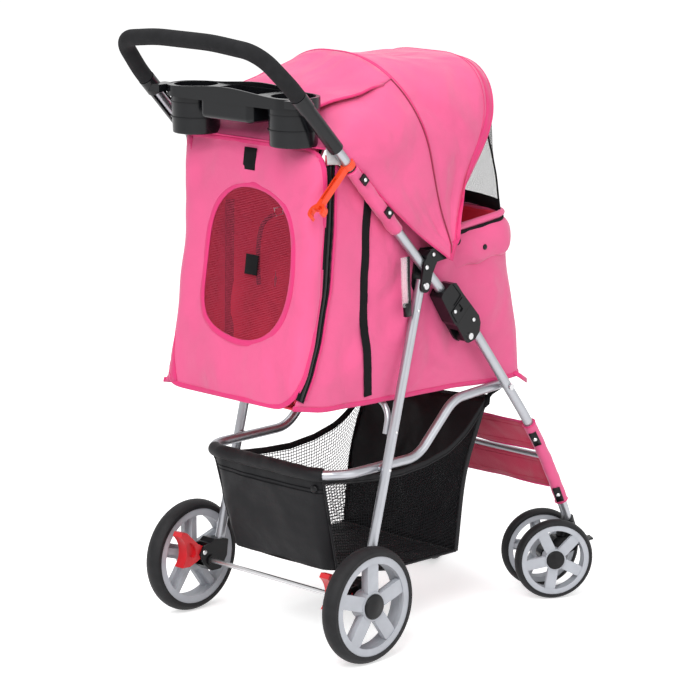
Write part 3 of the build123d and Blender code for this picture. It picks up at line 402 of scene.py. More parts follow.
def baked(piece: Piece) -> Piece:
    """Apply a piece's modifiers to its mesh.

    Args:
        piece: A piece with modifiers.

    Returns:
        The same object.
    """
    bpy.context.view_layer.update()
    graph = bpy.context.evaluated_depsgraph_get()
    mesh = bpy.data.meshes.new_from_object(piece.evaluated_get(graph), preserve_all_data_layers=True, depsgraph=graph)
    piece.modifiers.clear()
    piece.data = mesh
    return piece


def joined(name: str, pieces: Sequence[Piece]) -> Piece:
    """Bake each piece's modifiers and make them one object, keeping their materials.

    Args:
        name: The whole's name.
        pieces: What goes into it.

    Returns:
        The one object.
    """
    bpy.context.view_layer.update()
    graph = bpy.context.evaluated_depsgraph_get()
    points, faces, slots, materials, uvs = [], [], [], [], []
    for piece in pieces:
        mesh = piece.evaluated_get(graph).to_mesh()
        first = len(points)
        used = list(piece.data.materials)
        materials += [m for m in used if m not in materials]
        points += [tuple(v.co) for v in mesh.vertices]
        layer = mesh.uv_layers.active
        for polygon in mesh.polygons:
            faces.append(tuple(first + v for v in polygon.vertices))
            slots.append(materials.index(used[min(polygon.material_index, len(used) - 1)]))
            uvs += [tuple(layer.data[i].uv) if layer else (0.0, 0.0) for i in polygon.loop_indices]
        piece.evaluated_get(graph).to_mesh_clear()
    whole = bpy.data.meshes.new(name)
    whole.from_pydata(points, [], faces)
    for material in materials:
        whole.materials.append(material)
    whole.polygons.foreach_set("material_index", slots)
    whole.polygons.foreach_set("use_smooth", [True] * len(faces))
    whole.uv_layers.new(name="cloth").data.foreach_set("uv", [value for uv in uvs for value in uv])
    for piece in pieces:
        bpy.data.objects.remove(piece, do_unlink=True)
    return linked(name, whole)


# ---------------------------------------- finishes


class Shader:
    """Adds nodes to one new material and joins them."""

    def __init__(self, name: str, colour: Triple, roughness: float, **sockets: float) -> None:
        """Start a material with a plain surface.

        Args:
            name: The material's name.
            colour: Its base colour.
            roughness: Its roughness.
            sockets: Other values of the surface, with _ for each space in a socket's name.
        """
        self.material = bpy.data.materials.new(name)
        self.material.use_nodes = True
        self.tree = self.material.node_tree
        self.surface = next(n for n in self.tree.nodes if n.type == "BSDF_PRINCIPLED")
        self.material.diffuse_color = (*colour, 1.0)
        values = {"Base Color": (*colour, 1.0), "Roughness": roughness, **sockets}
        for socket, value in values.items():
            self.surface.inputs[socket.replace("_", " ")].default_value = value

    def node(self, kind: str, inputs: Optional[dict] = None, **settings: object) -> bpy.types.Node:
        """Add a node.

        Args:
            kind: Blender's type name, without ShaderNode.
            inputs: Sockets by name or number, each a value or a socket to join.
            settings: The node's own properties.

        Returns:
            The new node.
        """
        made = self.tree.nodes.new("ShaderNode" + kind)
        for key, value in settings.items():
            setattr(made, key, value)
        for key, value in (inputs or {}).items():
            if isinstance(value, Socket):
                self.tree.links.new(value, made.inputs[key])
            else:
                made.inputs[key].default_value = value
        return made

    def join(self, source: Socket, name: str) -> None:
        """Join a socket to the surface."""
        self.tree.links.new(source, self.surface.inputs[name])

    def position(self) -> Socket:
        """Coordinates in metres, fixed to the piece."""
        return self.node("TexCoord").outputs["Object"]

    def combined(self, operation: str, first: Socket, second: object) -> Socket:
        """Result of a sum with two values."""
        return self.node("Math", {0: first, 1: second}, operation=operation).outputs["Value"]

    def cloud(self, scale: float, detail: float, **more: float) -> Socket:
        """Cloudy noise, fixed to the piece."""
        inputs = {"Vector": self.position(), "Scale": scale, "Detail": detail, **more}
        return self.node("TexNoise", inputs).outputs["Fac"]

    def ribs(self, vector: Socket, pitch: float, direction: str) -> Socket:
        """Even ribs with a pitch in millimetres."""
        scale = 2 * math.pi / (20 * pitch * MM)
        return self.node("TexWave", {"Vector": vector, "Scale": scale}, bands_direction=direction).outputs["Fac"]

    def weave(self, pitch: float, operation: str) -> Socket:
        """Warp and weft along the cloth's own threads."""
        threads = self.node("UVMap", uv_map="cloth").outputs["UV"]
        return self.combined(operation, self.ribs(threads, pitch, "X"), self.ribs(threads, pitch, "Y"))

    def mottled(self, colour: Triple, share: float, scale: float, detail: float = 3.0) -> None:
        """Vary the base colour softly between two tones.

        Args:
            colour: The first tone.
            share: How much darker the second one is.
            scale: Scale of the clouds.
            detail: Detail of the clouds.
        """
        inputs = {"Value": self.cloud(scale, detail), "From Min": 0.3, "From Max": 0.7}
        tones = self.node("ValToRGB", {"Fac": self.node("MapRange", inputs).outputs["Result"]})
        for element, tone in zip(tones.color_ramp.elements, (1.0, 1 - share)):
            element.color = (*(c * tone for c in colour), 1)
        self.join(tones.outputs["Color"], "Base Color")

    def worn(self, cloud: Socket, roughness: float, less: float, more: float) -> None:
        """Vary the roughness with a cloud, from a little less to a little more."""
        inputs = {"Value": cloud, "To Min": roughness - less, "To Max": roughness + more}
        self.join(self.node("MapRange", inputs).outputs["Result"], "Roughness")

    def bump(self, height: Socket, strength: float, distance: float, under: Optional[Socket] = None) -> Socket:
        """Add a bump layer on top of another one.

        Args:
            height: The layer's height.
            strength: Its strength.
            distance: Its depth in metres.
            under: Normal of the layer below.

        Returns:
            The normal of both.
        """
        values = {"Height": height, "Strength": strength, "Distance": distance}
        if under is not None:
            values["Normal"] = under
        return self.node("Bump", values).outputs["Normal"]

    def finished(self, normal: Socket) -> Material:
        """Join the last normal and hand the material over."""
        self.join(normal, "Normal")
        return self.material


_MADE: dict[str, Material] = {}


@dataclass(frozen=True)
class Finish:
    """A finish that makes its Blender material once."""

    name: str
    colour: Triple
    roughness: float = 0.5

    @property
    def material(self) -> Material:
        """The finish's material.

        Returns:
            The material, the same one each time.
        """
        if self.name not in _MADE:
            _MADE[self.name] = self.build()
        return _MADE[self.name]

    def shader(self, **sockets: float) -> Shader:
        """Start the material with the finish's own colour and roughness."""
        return Shader(self.name, self.colour, self.roughness, **sockets)

    def build(self) -> Material:
        """Make the material."""
        raise NotImplementedError


@dataclass(frozen=True)
class WovenCloth(Finish):
    """Tightly woven coated polyester."""

    roughness: float = 0.62
    thread: float = 1.1
    sheen: float = 0.25
    variation: float = 0.10
    gloss: float = 0.3

    def build(self) -> Material:
        """Plain weave, soft creases and faint uneven dye.

        Returns:
            The material.
        """
        s = self.shader(Sheen_Weight=self.sheen, Sheen_Roughness=0.45, Specular_IOR_Level=self.gloss)
        s.mottled(self.colour, self.variation, 9.0)
        drape = s.bump(s.cloud(8.5, 2.0, Roughness=0.45, Distortion=0.5), 0.75, 0.03)
        folds = s.bump(s.cloud(26.0, 4.0, Roughness=0.55), 0.35, 0.004, drape)
        return s.finished(s.bump(s.weave(self.thread, "ADD"), 0.25, 0.0002, folds))


@dataclass(frozen=True)
class OpenMesh(Finish):
    """Knitted or woven mesh with see-through holes."""

    roughness: float = 0.8
    pitch: float = 2.4
    solid: float = 0.72

    def build(self) -> Material:
        """Two sets of threads with holes between them.

        Returns:
            The material.
        """
        s = self.shader(Specular_IOR_Level=0.08)
        web = s.weave(self.pitch, "MAXIMUM")
        s.join(s.combined("GREATER_THAN", web, self.solid), "Alpha")
        return s.finished(s.bump(web, 0.4, 0.0004))


@dataclass(frozen=True)
class Webbing(Finish):
    """Woven tape, zip tape and hook-and-loop tape."""

    roughness: float = 0.75
    rib: float = 1.6

    def build(self) -> Material:
        """Fine diagonal ribs and a little fuzz.

        Returns:
            The material.
        """
        s = self.shader(Specular_IOR_Level=0.12)
        s.mottled(self.colour, 0.25, 60.0)
        fuzz = s.bump(s.cloud(900.0, 2.0), 0.2, 0.0003)
        return s.finished(s.bump(s.ribs(s.position(), self.rib, "DIAGONAL"), 0.35, 0.0003, fuzz))


@dataclass(frozen=True)
class PaintedTube(Finish):
    """Silver-grey powder coat on steel tube."""

    name: str = "silver_paint"
    colour: Triple = (0.42, 0.43, 0.46)
    roughness: float = 0.3
    metallic: float = 0.8

    def build(self) -> Material:
        """Fine orange peel, faint handling marks.

        Returns:
            The material.
        """
        s = self.shader(Metallic=self.metallic)
        s.mottled(self.colour, 0.07, 35.0)
        s.worn(s.cloud(70.0, 6.0), self.roughness, 0.04, 0.06)
        return s.finished(s.bump(s.cloud(1100.0, 2.0), 0.03, 0.0002))


@dataclass(frozen=True)
class Moulding(Finish):
    """Moulded plastic with a fine spark-eroded grain."""

    roughness: float = 0.45
    grain: float = 0.18
    scale: float = 1500.0
    gloss: float = 0.5

    def build(self) -> Material:
        """Grain, soft flow marks and slightly uneven gloss.

        Returns:
            The material.
        """
        s = self.shader(Specular_IOR_Level=self.gloss)
        s.mottled(self.colour, 0.12, 40.0)
        s.worn(s.cloud(45.0, 5.0), self.roughness, 0.07, 0.1)
        return s.finished(s.bump(s.cloud(self.scale, 3.0), self.grain, 0.0002))


@dataclass(frozen=True)
class CellFoam(Finish):
    """Closed-cell foam: handle grip and solid tyres."""

    roughness: float = 0.88
    cell: float = 0.9

    def build(self) -> Material:
        """Small open cells at the skin.

        Returns:
            The material.
        """
        s = self.shader(Specular_IOR_Level=0.2)
        s.mottled(self.colour, -0.6, 55.0, 5.0)
        cells = s.node("TexVoronoi", {"Vector": s.position(), "Scale": 1 / (self.cell * MM)})
        return s.finished(s.bump(cells.outputs["Distance"], 0.35, 0.0004))


@dataclass(frozen=True)
class BareMetal(Finish):
    """Zinc-plated or polished steel."""

    name: str
    colour: Triple = (0.62, 0.62, 0.63)
    roughness: float = 0.28

    def build(self) -> Material:
        """Fine turning marks.

        Returns:
            The material.
        """
        s = self.shader(Metallic=1.0)
        marks = s.cloud(420.0, 4.0)
        s.worn(marks, self.roughness, 0.08, 0.14)
        return s.finished(s.bump(marks, 0.08, 0.0002))


@dataclass(frozen=True)
class ClearFilm(Finish):
    """Thin clear plastic sleeve."""

    name: str = "clear_film"
    colour: Triple = (0.9, 0.92, 0.93)
    roughness: float = 0.12

    def build(self) -> Material:
        """Mostly see-through, glossy, slightly crumpled."""
        s = self.shader(Alpha=0.28)
        return s.finished(s.bump(s.cloud(160.0, 3.0), 0.6, 0.002))


BLACK = (0.006, 0.006, 0.007)


class Look(Enum):
    """The stroller's finishes."""

    PINK = WovenCloth("pink_cloth", (0.76, 0.105, 0.262))
    BINDING = WovenCloth("deep_pink_binding", (0.70, 0.032, 0.175), thread=1.6, roughness=0.55)
    # Painted shadow: near-black red for the thin line that stands for the shadow beside the canopy's middle seam
    # piping.
    SEAM_SHADOW = WovenCloth("painted_seam_shadow", (0.25, 0.008, 0.045), thread=1.0)
    # Painted shade: the pink cloth made darker and deeper for the shade on the foot panel's bands.
    FOOT_SHADED = WovenCloth("foot_panel_cloth_painted_shade", (0.55, 0.03, 0.085))
    LINING = WovenCloth("dark_red_lining", (0.88, 0.04, 0.09), sheen=0.1)
    STRAP_LINING = WovenCloth("dark_strap_lining", (0.22, 0.008, 0.02))
    BLACK_CLOTH = WovenCloth("black_cloth", (0.0075, 0.0075, 0.009), 0.6, thread=1.3, sheen=0.05, gloss=0.2)
    BLACK_MESH = OpenMesh("black_mesh", BLACK, pitch=5.6, solid=0.84)
    WINDOW_MESH = OpenMesh("window_mesh", (0.02, 0.02, 0.022), pitch=1.9, solid=0.8)
    DOOR_MESH = OpenMesh("door_mesh", (0.52, 0.06, 0.11), pitch=2.6, solid=0.93)
    TAPE = Webbing("black_tape", BLACK)
    PATCH = Webbing("pale_patch", (0.56, 0.56, 0.57), rib=2.4)
    PAINT = PaintedTube()
    PLASTIC = Moulding("black_moulding", BLACK, roughness=0.3, gloss=0.22)
    TRAY = Moulding("tray_moulding", (0.006, 0.0065, 0.008), roughness=0.2, grain=0.08, gloss=0.3)
    RIM = Moulding("grey_rim_moulding", (0.44, 0.46, 0.50), roughness=0.36, grain=0.08)
    RED = Moulding("red_moulding", (0.62, 0.012, 0.02), roughness=0.33, grain=0.06)
    ORANGE = Moulding("orange_clip", (0.86, 0.06, 0.012), roughness=0.3, grain=0.05)
    WIRE = Moulding("black_wire_coat", BLACK, roughness=0.3, gloss=0.25)
    GRIP = CellFoam("grip_foam", (0.010, 0.010, 0.011))
    TYRE = CellFoam("tyre_foam", (0.011, 0.011, 0.012), cell=0.7, roughness=0.55)
    STEEL = BareMetal("bright_steel")
    FILM = ClearFilm()

    @property
    def material(self) -> Material:
        """The finish's material."""
        return self.value.material


def tinted(piece: Piece, look: Look) -> Piece:
    """Give a piece a finish of its own."""
    piece.data.materials.append(look.material)
    return piece


def dress(piece: Piece, body: Optional[str], look: Look, replaces: Sequence[str] = ()) -> Piece:
    """Finish a piece: its material, its body and the nodes that it stands for.

    Args:
        piece: A mesh object.
        body: The body that it moves with, or None to attach it to no body.
        look: Its finish, unless the piece has materials of its own.
        replaces: Nodes that it replaces.

    Returns:
        The same object.
    """
    if not piece.data.materials:
        tinted(piece, look)
    if body:
        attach(piece, body)
    if replaces:
        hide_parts(*replaces)
    LOG.info("%s dressed", piece.name)
    return piece


def declared(piece: Piece) -> None:
    """Read the size that a stretched cloth sheet was cut to, and do nothing more with it."""
    width, length = piece["flat"]


@dataclass
class KeptNodes:
    """Nodes whose solid shape is right and which only need a finish, by the start of their names."""

    looks: tuple[tuple[Look, tuple[str, ...]], ...] = (
        (Look.PAINT, ("front_leg", "front_cross_tube", "handle_tube", "rear_leg", "rear_arch", "basket_tube")),
        (Look.PAINT, ("hanger_bars",)),
        (Look.STEEL, ("rear_axle", "basket_pins", "fold_pins", "bracket_pins")),
        (Look.PLASTIC, ("hinge_", "castor_socket", "castor_body", "castor_lever", "axle_housing", "tube_bracket")),
        (Look.PLASTIC, ("lock_sleeve", "snap_clips")), (Look.WIRE, ("canopy_bow", "front_hoop")),
        (Look.TRAY, ("drink_tray",)), (Look.GRIP, ("handle_grip",)), (Look.TYRE, ("rear_tyre", "castor_tyre")),
        (Look.RIM, ("rear_rim", "castor_rim")), (Look.RED, ("brake_lever",)), (Look.ORANGE, ("storage_clip",)),
    )

    def dress(self) -> None:
        """Put each node's finish on its mesh."""
        for name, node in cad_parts.items():
            for look in (look for look, starts in self.looks if name.startswith(starts)):
                if node.material_slots:
                    for place in node.material_slots:
                        place.material = look.material
                else:
                    tinted(node, look)


# ---------------------------------------- cabin


@dataclass
class Cabin:
    """Soft cabin: wrapped side and front wall, floor, bindings, zips, rim and valance."""

    rear_top: Pair = (-50.0, 822.0)
    rear_bottom: Pair = (-108.0, 420.0)
    front_top: Pair = (383.0, 680.0)
    front_bottom: Pair = (440.0, 394.0)
    half_bottom: float = 148.0
    half_top: float = 157.0
    corner: float = 26.0
    side: float = 460.0
    bulge: float = 6.0
    right_pinch: float = 4.0
    left_pinch: float = 19.0
    strap_x: float = 50.0
    rim_z: float = 676.0
    lining_gap: float = 5.0
    columns: int = 96
    lines: int = 40
    floor_ends: Pair = (-88.0, 428.0)
    pulls_at: tuple[tuple[Pair, Pair, float, float], ...] = (
        ((150, 640), (-40, 450), 26, -3.0), ((170, 600), (60, 415), 20, 2.6), ((190, 560), (330, 420), 24, -2.6),
        ((215, 620), (400, 500), 30, 2.8), ((-20, 700), (140, 560), 24, 2.4), ((250, 600), (250, 420), 18, -2.0),
    )

    def edges_at(self, z: float) -> Triple:
        """Rear x, front x and half-width of the wall at a height.

        Args:
            z: The height.

        Returns:
            The three distances.
        """
        (x0, z0), (x1, z1) = self.rear_bottom, self.rear_top
        (x2, z2), (x3, z3) = self.front_bottom, self.front_top
        share = (z - z0) / (z1 - z0)
        front = x2 + (x3 - x2) * (z - z2) / (z3 - z2)
        return x0 + (x1 - x0) * share, front, blended(self.half_bottom, self.half_top, share)

    def zip_at(self, z: float) -> float:
        """How far ahead of the rear edge the door's zip lies at a height."""
        return float(np.interp(z, [418, 436, 470, 520, 600, 700, 797, 822], [4, 14, 26, 36, 40, 31, 19, 16]))

    def pinch(self, z: float, left: bool) -> float:
        """How far the rear corner is drawn in between floor and roof.

        Args:
            z: The height.
            left: Whether it is the left corner.

        Returns:
            The distance.
        """
        low, high = self.rear_bottom[1], self.rear_top[1]
        share = min(max((z - low) / (high - low), 0.0), 1.0)
        return (self.left_pinch if left else self.right_pinch) * math.sin(math.pi * share)

    def wall(self, s: float, z: float, out: float = 0.0) -> Triple:
        """Point on the wrapped wall.

        Args:
            s: 0 at the right side's zip, 1 at the left side's.
            z: Height.
            out: Distance off the wall.

        Returns:
            The station.
        """
        rear, front, half = self.edges_at(z)
        rear += self.zip_at(z) - 5.0
        r, side = self.corner, self.side
        arc, across = r * math.pi / 2, 2 * (half - r)
        run = s * (2 * side + 2 * arc + across)
        if run > side + arc + across / 2:
            x, y, z = self.wall(1 - s, z, out)
            return x, -y, z
        if run <= side:
            return rear + (front - r - rear) * run / side, -half - out, z
        if run <= side + arc:
            turn = (run - side) / r
            return front - r + (r + out) * math.sin(turn), -half + r - (r + out) * math.cos(turn), z
        return front + out, -half + r + (run - side - arc), z

    def side_top(self, x: float) -> float:
        """Height of the side wall's top edge."""
        return float(np.interp(x, [-50, -30, 150, 205, 245, 300, 383, 445], [822, 806, 683, 645, 661, 667, 675, 675]))

    def side_bottom(self, x: float) -> float:
        """Height of the side wall's bottom edge."""
        return float(np.interp(x, [-110, -46, 30, 141, 263, 364, 442], [420, 407, 404, 400, 397, 389, 392]))

    def grid(self) -> Points:
        """Rows from the bottom edge to the top edge, columns round the wall.

        Returns:
            The flat wall's grid.
        """
        out = np.zeros((self.lines, self.columns, 3))
        for c, s in enumerate(np.linspace(0, 1, self.columns)):
            bottom, top = 400.0, 700.0
            for _ in range(12):
                top = self.side_top(self.wall(s, top)[0])
            for _ in range(4):
                bottom = self.side_bottom(self.wall(s, bottom)[0])
            out[:, c] = [self.wall(s, blended(bottom, top, t)) for t in np.linspace(0, 1, self.lines)]
        return out

    def outside(self, wall: Points) -> Points:
        """Unit normals that point away from the cabin."""
        normal = normals_of(wall)
        return normal * np.sign(-normal[len(wall) // 2, 4, 1])

    def worn(self, grid: Points) -> Points:
        """Let the flat wall swell between its seams and crease a little.

        Args:
            grid: The flat wall.

        Returns:
            The wall's final grid.
        """
        high, wide = grid.shape[:2]
        t, s = np.linspace(0, 1, high)[:, None], np.linspace(0, 1, wide)[None]
        normal = self.outside(grid)
        edge = np.clip(np.minimum(s, 1 - s) / 0.05, 0.15, 1.0)
        waves = np.abs(np.sin(math.pi * np.clip(s * 2.6, 0, 2.6) / 1.3))
        swell = self.bulge * np.sin(math.pi * t) ** 0.8 * (0.35 + 0.65 * waves) * edge
        folds = creases(grid * np.array([1.5, 1.0, 0.55]), 80.0, 3.1) * 8.5 * (0.3 + 0.7 * np.sin(math.pi * t))
        folds = (folds + self.pulls(grid)) * edge
        drawn = np.array([[self.pinch(z, y > 0) * math.exp(-max(x + 75, 0) / 55) for x, y, z in row] for row in grid])
        grid = grid - np.sign(grid[..., 1:2]) * np.array([0, 1, 0]) * drawn[..., None]
        near_strap = np.exp(-(((grid[..., 0] - self.strap_x) / 16.0) ** 2)) * -3.0 * np.sin(math.pi * t)
        return grid + normal * (swell + folds + near_strap)[..., None]

    def pulls(self, grid: Points) -> Points:
        """Long shallow folds that run from the hinge brackets down to the floor's corners.

        Args:
            grid: The flat wall.

        Returns:
            One height for each point.
        """
        height = np.zeros(grid.shape[:2])
        for start, end, width, depth in self.pulls_at:
            along = np.subtract(end, start).astype(float)
            length = np.linalg.norm(along)
            along /= length
            x, z = grid[..., 0] - start[0], grid[..., 2] - start[1]
            run = x * along[0] + z * along[1]
            off = x * along[1] - z * along[0]
            fade = np.exp(-(((run - length / 2) / (length * 0.55)) ** 4))
            height += 1.5 * depth * np.exp(-((off / width) ** 2)) * fade
        return height

    def build(self) -> None:
        """Make every piece of the cabin."""
        wall = self.worn(self.grid())
        self.shell(wall)
        self.lining(wall)
        self.floor()
        self.hems(wall)
        self.zips(wall)
        self.rim()
        self.valance()

    def whole(self, name: str, made: Sequence[Piece], look: Look, slot: str, replaces: Sequence[str] = ()) -> Piece:
        """Join pieces into one that moves with the cabin.

        Args:
            name: The whole's name.
            made: What goes into it.
            look: Its main finish.
            slot: Not used.
            replaces: Nodes that it replaces.

        Returns:
            The one object.
        """
        piece = dress(joined(name, made), "upper_frame", look, replaces)
        self.folded(piece)
        return piece

    def folded(self, piece: Piece) -> None:
        """Give a cabin piece its own copy of its mesh; an anchor by the handle tubes is worked out but not used."""
        anchor = to_frame(rows((120, 0, 660)))[0]
        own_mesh(piece)

    def shell(self, wall: Points) -> None:
        """Pink outer wall.

        Args:
            wall: The worn wall.
        """
        piece = baked(sheet("cabin_wall", wall, 1.4))
        dress(piece, "upper_frame", Look.PINK, ("cabin_side_right", "cabin_side_left", "cabin_front"))
        declared(piece)
        self.folded(piece)

    def lining(self, wall: Points) -> None:
        """Dark lining inside the wall, with its straps, tether and buckle.

        Args:
            wall: The worn wall.
        """
        piece = baked(sheet("cabin_lining", (wall - self.outside(wall) * self.lining_gap)[1:], 0.6))
        dress(piece, "upper_frame", Look.LINING)
        declared(piece)
        self.folded(piece)
        made = []
        for _, sign in SIDES:
            path = rows((40, sign * 147, 700), (38, sign * 146, 640), (34, sign * 144, 540), (30, sign * 141, 440))
            strap = sweep("inner_strap", path, box_profile(19.0, 1.6), (0, -sign, 0))
            made.append(tinted(strap, Look.STRAP_LINING))
        line = rows((-30, -30, 705), (-46, -30, 700), (-58, -30, 690),
                    (-65, -30, 668), (-68, -30, 634), (-66, -30, 597))
        made.append(tinted(sweep("tether", through(line, 30), box_profile(7.0, 1.6), (0.5, 0.8, 0)), Look.TAPE))
        line = rows((-32, -30, 715), (-14, -30, 716), (-12, -30, 704), (-28, -30, 702))
        made.append(tinted(sweep("tether_buckle", line, ring_profile(1.6, 8), closed=True), Look.STEEL))
        self.whole("cabin_inner_straps", made, Look.TAPE, "black_fabric")

    def board(self, t: float, s: float) -> Triple:
        """Station on the floor board's padded face.

        Args:
            t: Share of the way forward.
            s: Share of the way across.

        Returns:
            The station.
        """
        x = blended(*self.floor_ends, t)
        puff = (1 - (2 * s - 1) ** 8) * (1 - (2 * t - 1) ** 8)
        return x, (self.half_bottom - 9) * (2 * s - 1), max(407.0, self.side_bottom(x) + 3) + 5.0 * puff

    def floor(self) -> None:
        """Padded floor board."""
        piece = baked(sheet("cabin_floor_pad", laid(36, 20, self.board), 5.0, -1.0))
        dress(piece, "upper_frame", Look.LINING, ("cabin_floor",))
        self.folded(piece)

    def hems(self, wall: Points) -> None:
        """Binding tape along the bottom edge, its corner ends, and the pale patches at the roof's corners.

        Args:
            wall: The worn wall.
        """
        normal, count = self.outside(wall)[0], 150
        line = resampled(wall[0] + normal * 0.6, count) + (0, 0, 3.0)
        out = [normal[int(i * wall.shape[1] / count)] for i in range(count)]
        made = [sweep("bottom_binding", line, edge_profile(2.2, 8.0), out)]
        for _, sign in SIDES:
            path = rows((410, sign * 148, 399), (424, sign * 151, 390), (440, sign * 151, 380))
            made.append(sweep("corner_end", path, box_profile(9.0, 2.0), (0.3, sign, 0.4)))
        for piece in made:
            tinted(piece, Look.BINDING)
        for y, sign in ((163, -1), (156, 1)):
            a, b, c, d = rows((-50, y, 827), (-19, y + 1, 819), (-14, y + 1, 796), (-46, y - 1, 800)) * (1, sign, 1)
            patch = laid(8, 10, lambda t, s: blended(blended(a, d, t), blended(b, c, t), s))
            made.append(tinted(sheet("pale_patch", patch, 1.0), Look.PATCH))
        self.whole("cabin_bindings", made, Look.BINDING, "pink_fabric")

    def strip_on_wall(self, wall: Points, line: Points, profile: Points, proud: float, sign: int) -> Piece:
        """Lay a flat tape on one side of the wall.

        Args:
            wall: The worn wall.
            line: Stations (x, z) along the tape.
            profile: The tape's cross-section.
            proud: How far its middle stands off the wall.
            sign: -1 for the right side, 1 for the left.

        Returns:
            The tape.
        """
        middle = wall.shape[1] // 2
        half = (wall[:, :middle] if sign < 0 else wall[:, middle:]).reshape(-1, 3)
        path = []
        for x, z in through(line, 60):
            near = half[np.argsort((half[:, 0] - x) ** 2 + (half[:, 2] - z) ** 2)[:4]]
            path.append((x, near[:, 1].mean() + sign * proud, z))
        return sweep("strip", np.array(path), profile, (0, sign, 0.03))

    def zips(self, wall: Points) -> None:
        """Zip beside the rear door, with its flap, and the strap that carries the cabin.

        Args:
            wall: The worn wall.
        """
        heights = (797, 750, 700, 650, 600, 560, 520, 490, 470, 450, 432)
        zip_line = rows(*[(self.edges_at(z)[0] + self.zip_at(z), z) for z in heights])
        strap_line = rows((51, 738), (43, 671), (46, 557), (55, 417))
        made = []
        for _, sign in SIDES:
            for line, width, proud, thick, look in (
                (zip_line, 18.0, 1.6, 1.2, Look.TAPE), (zip_line, 5.0, 2.8, 1.8, Look.WIRE),
                (strap_line, 17.0, 1.4, 1.4, Look.TAPE), (zip_line + (12.5, 0), 5.5, 1.8, 2.6, Look.BINDING),
                (zip_line + (6.0, 0), 3.0, 2.6, 2.4, Look.TAPE),
            ):
                if sign > 0 and line is not strap_line:
                    line, proud = line[:-3], proud - 1.2
                made.append(tinted(self.strip_on_wall(wall, line, box_profile(width, thick), proud, sign), look))
        self.whole("side_zips_and_straps", made, Look.TAPE, "black_fabric")

    def rim_line(self, out: float, z_off: float, start_x: float = 238.0, count: int = 110) -> Points:
        """Line round the cabin's front rim, from the right side's middle to the left's.

        Args:
            out: Distance off the wall.
            z_off: Height over the rim.
            start_x: Where the line starts and ends.
            count: How many points it has.

        Returns:
            The line.
        """
        dense = np.array([self.wall(s, self.rim_z, out) for s in np.linspace(0, 1, 600)])
        line = resampled(dense[dense[:, 0] > start_x], count)
        line[:, 2] = np.interp(line[:, 0], [238, 300, 380, 400], [661, 667, 675, 676]) + z_off
        return line

    def rim(self) -> None:
        """Padded rim bar over the front hoop, and the window zip below it."""
        bar = sweep("rim_bar", self.rim_line(0.0, 0.0), ring_profile(6.2, 12, 0.85))
        line = self.rim_line(3.4, -9.0)
        zipper = sweep("rim_zip", line, edge_profile(2.0, 6.0), self.outward(line))
        made = [tinted(bar, Look.PINK), tinted(zipper, Look.TAPE)]
        self.whole("cabin_rim", made, Look.PINK, "pink_fabric", ("front_hoop",))

    def outward(self, line: Points) -> Points:
        """Level outward direction at each point of a line round the cabin."""
        out = unit(np.cross(np.gradient(line, axis=0), [0.0, 0.0, 1.0]))
        return out * np.sign(((line - (200.0, 0.0, 0.0)) * out).sum(axis=1, keepdims=True))

    def valance(self) -> None:
        """Rolled pocket that runs round the front below the rim, with its snaps and zip rings."""
        line = self.rim_line(0.0, 0.0, 236.0, 90)
        out, count = self.outward(line), np.arange(90)
        push, drop = rows((0, -6), (4.5, -12), (9.5, -20), (11.5, -34), (11.5, -50), (9, -62), (3, -69), (-1, -66),
                          (0.5, -40), (-1, -12)).T
        fade = np.clip(np.minimum(count, count[::-1]) / 7.0, 0.25, 1.0) * (1.0 + 0.55 * np.maximum(out[:, 0], 0.0))
        grid = line[:, None] + out[:, None] * (fade[:, None] * push + 1.0)[..., None]
        grid[..., 2] += (1.0 + 0.03 * np.sin(count * 0.7))[:, None] * drop
        roll = tinted(tube("front_valance", creased(grid, 38.0, 8.0, 1.6)), Look.PINK)
        smooth = roll.modifiers.new("smooth", "SUBSURF")
        smooth.levels = smooth.render_levels = 1
        made = [roll]
        for place, end in ((12, 2), (len(line) - 13, -3)):
            at = line[place] + out[place] * (12.6 + 6.0 * max(out[place][0], 0.0)) + (0, 0, -43.0)
            snap = lathe("snap", at, out[place], rows((0.5, 1.6), (3.2, 1.5), (4.6, 0.6), (4.8, -0.6)), 18)
            made.append(tinted(snap, Look.PLASTIC))
            centre = line[end] + out[place] * 6 + (6.0, 0, -20.0)
            loop = centre + ring_profile(6.0, 20) @ rows((1, 0, 0), (0, 0, 1))
            made.append(tinted(sweep("zip_ring", loop, ring_profile(1.0, 6), closed=True), Look.WIRE))
        self.whole("valance", made, Look.PINK, "pink_fabric")


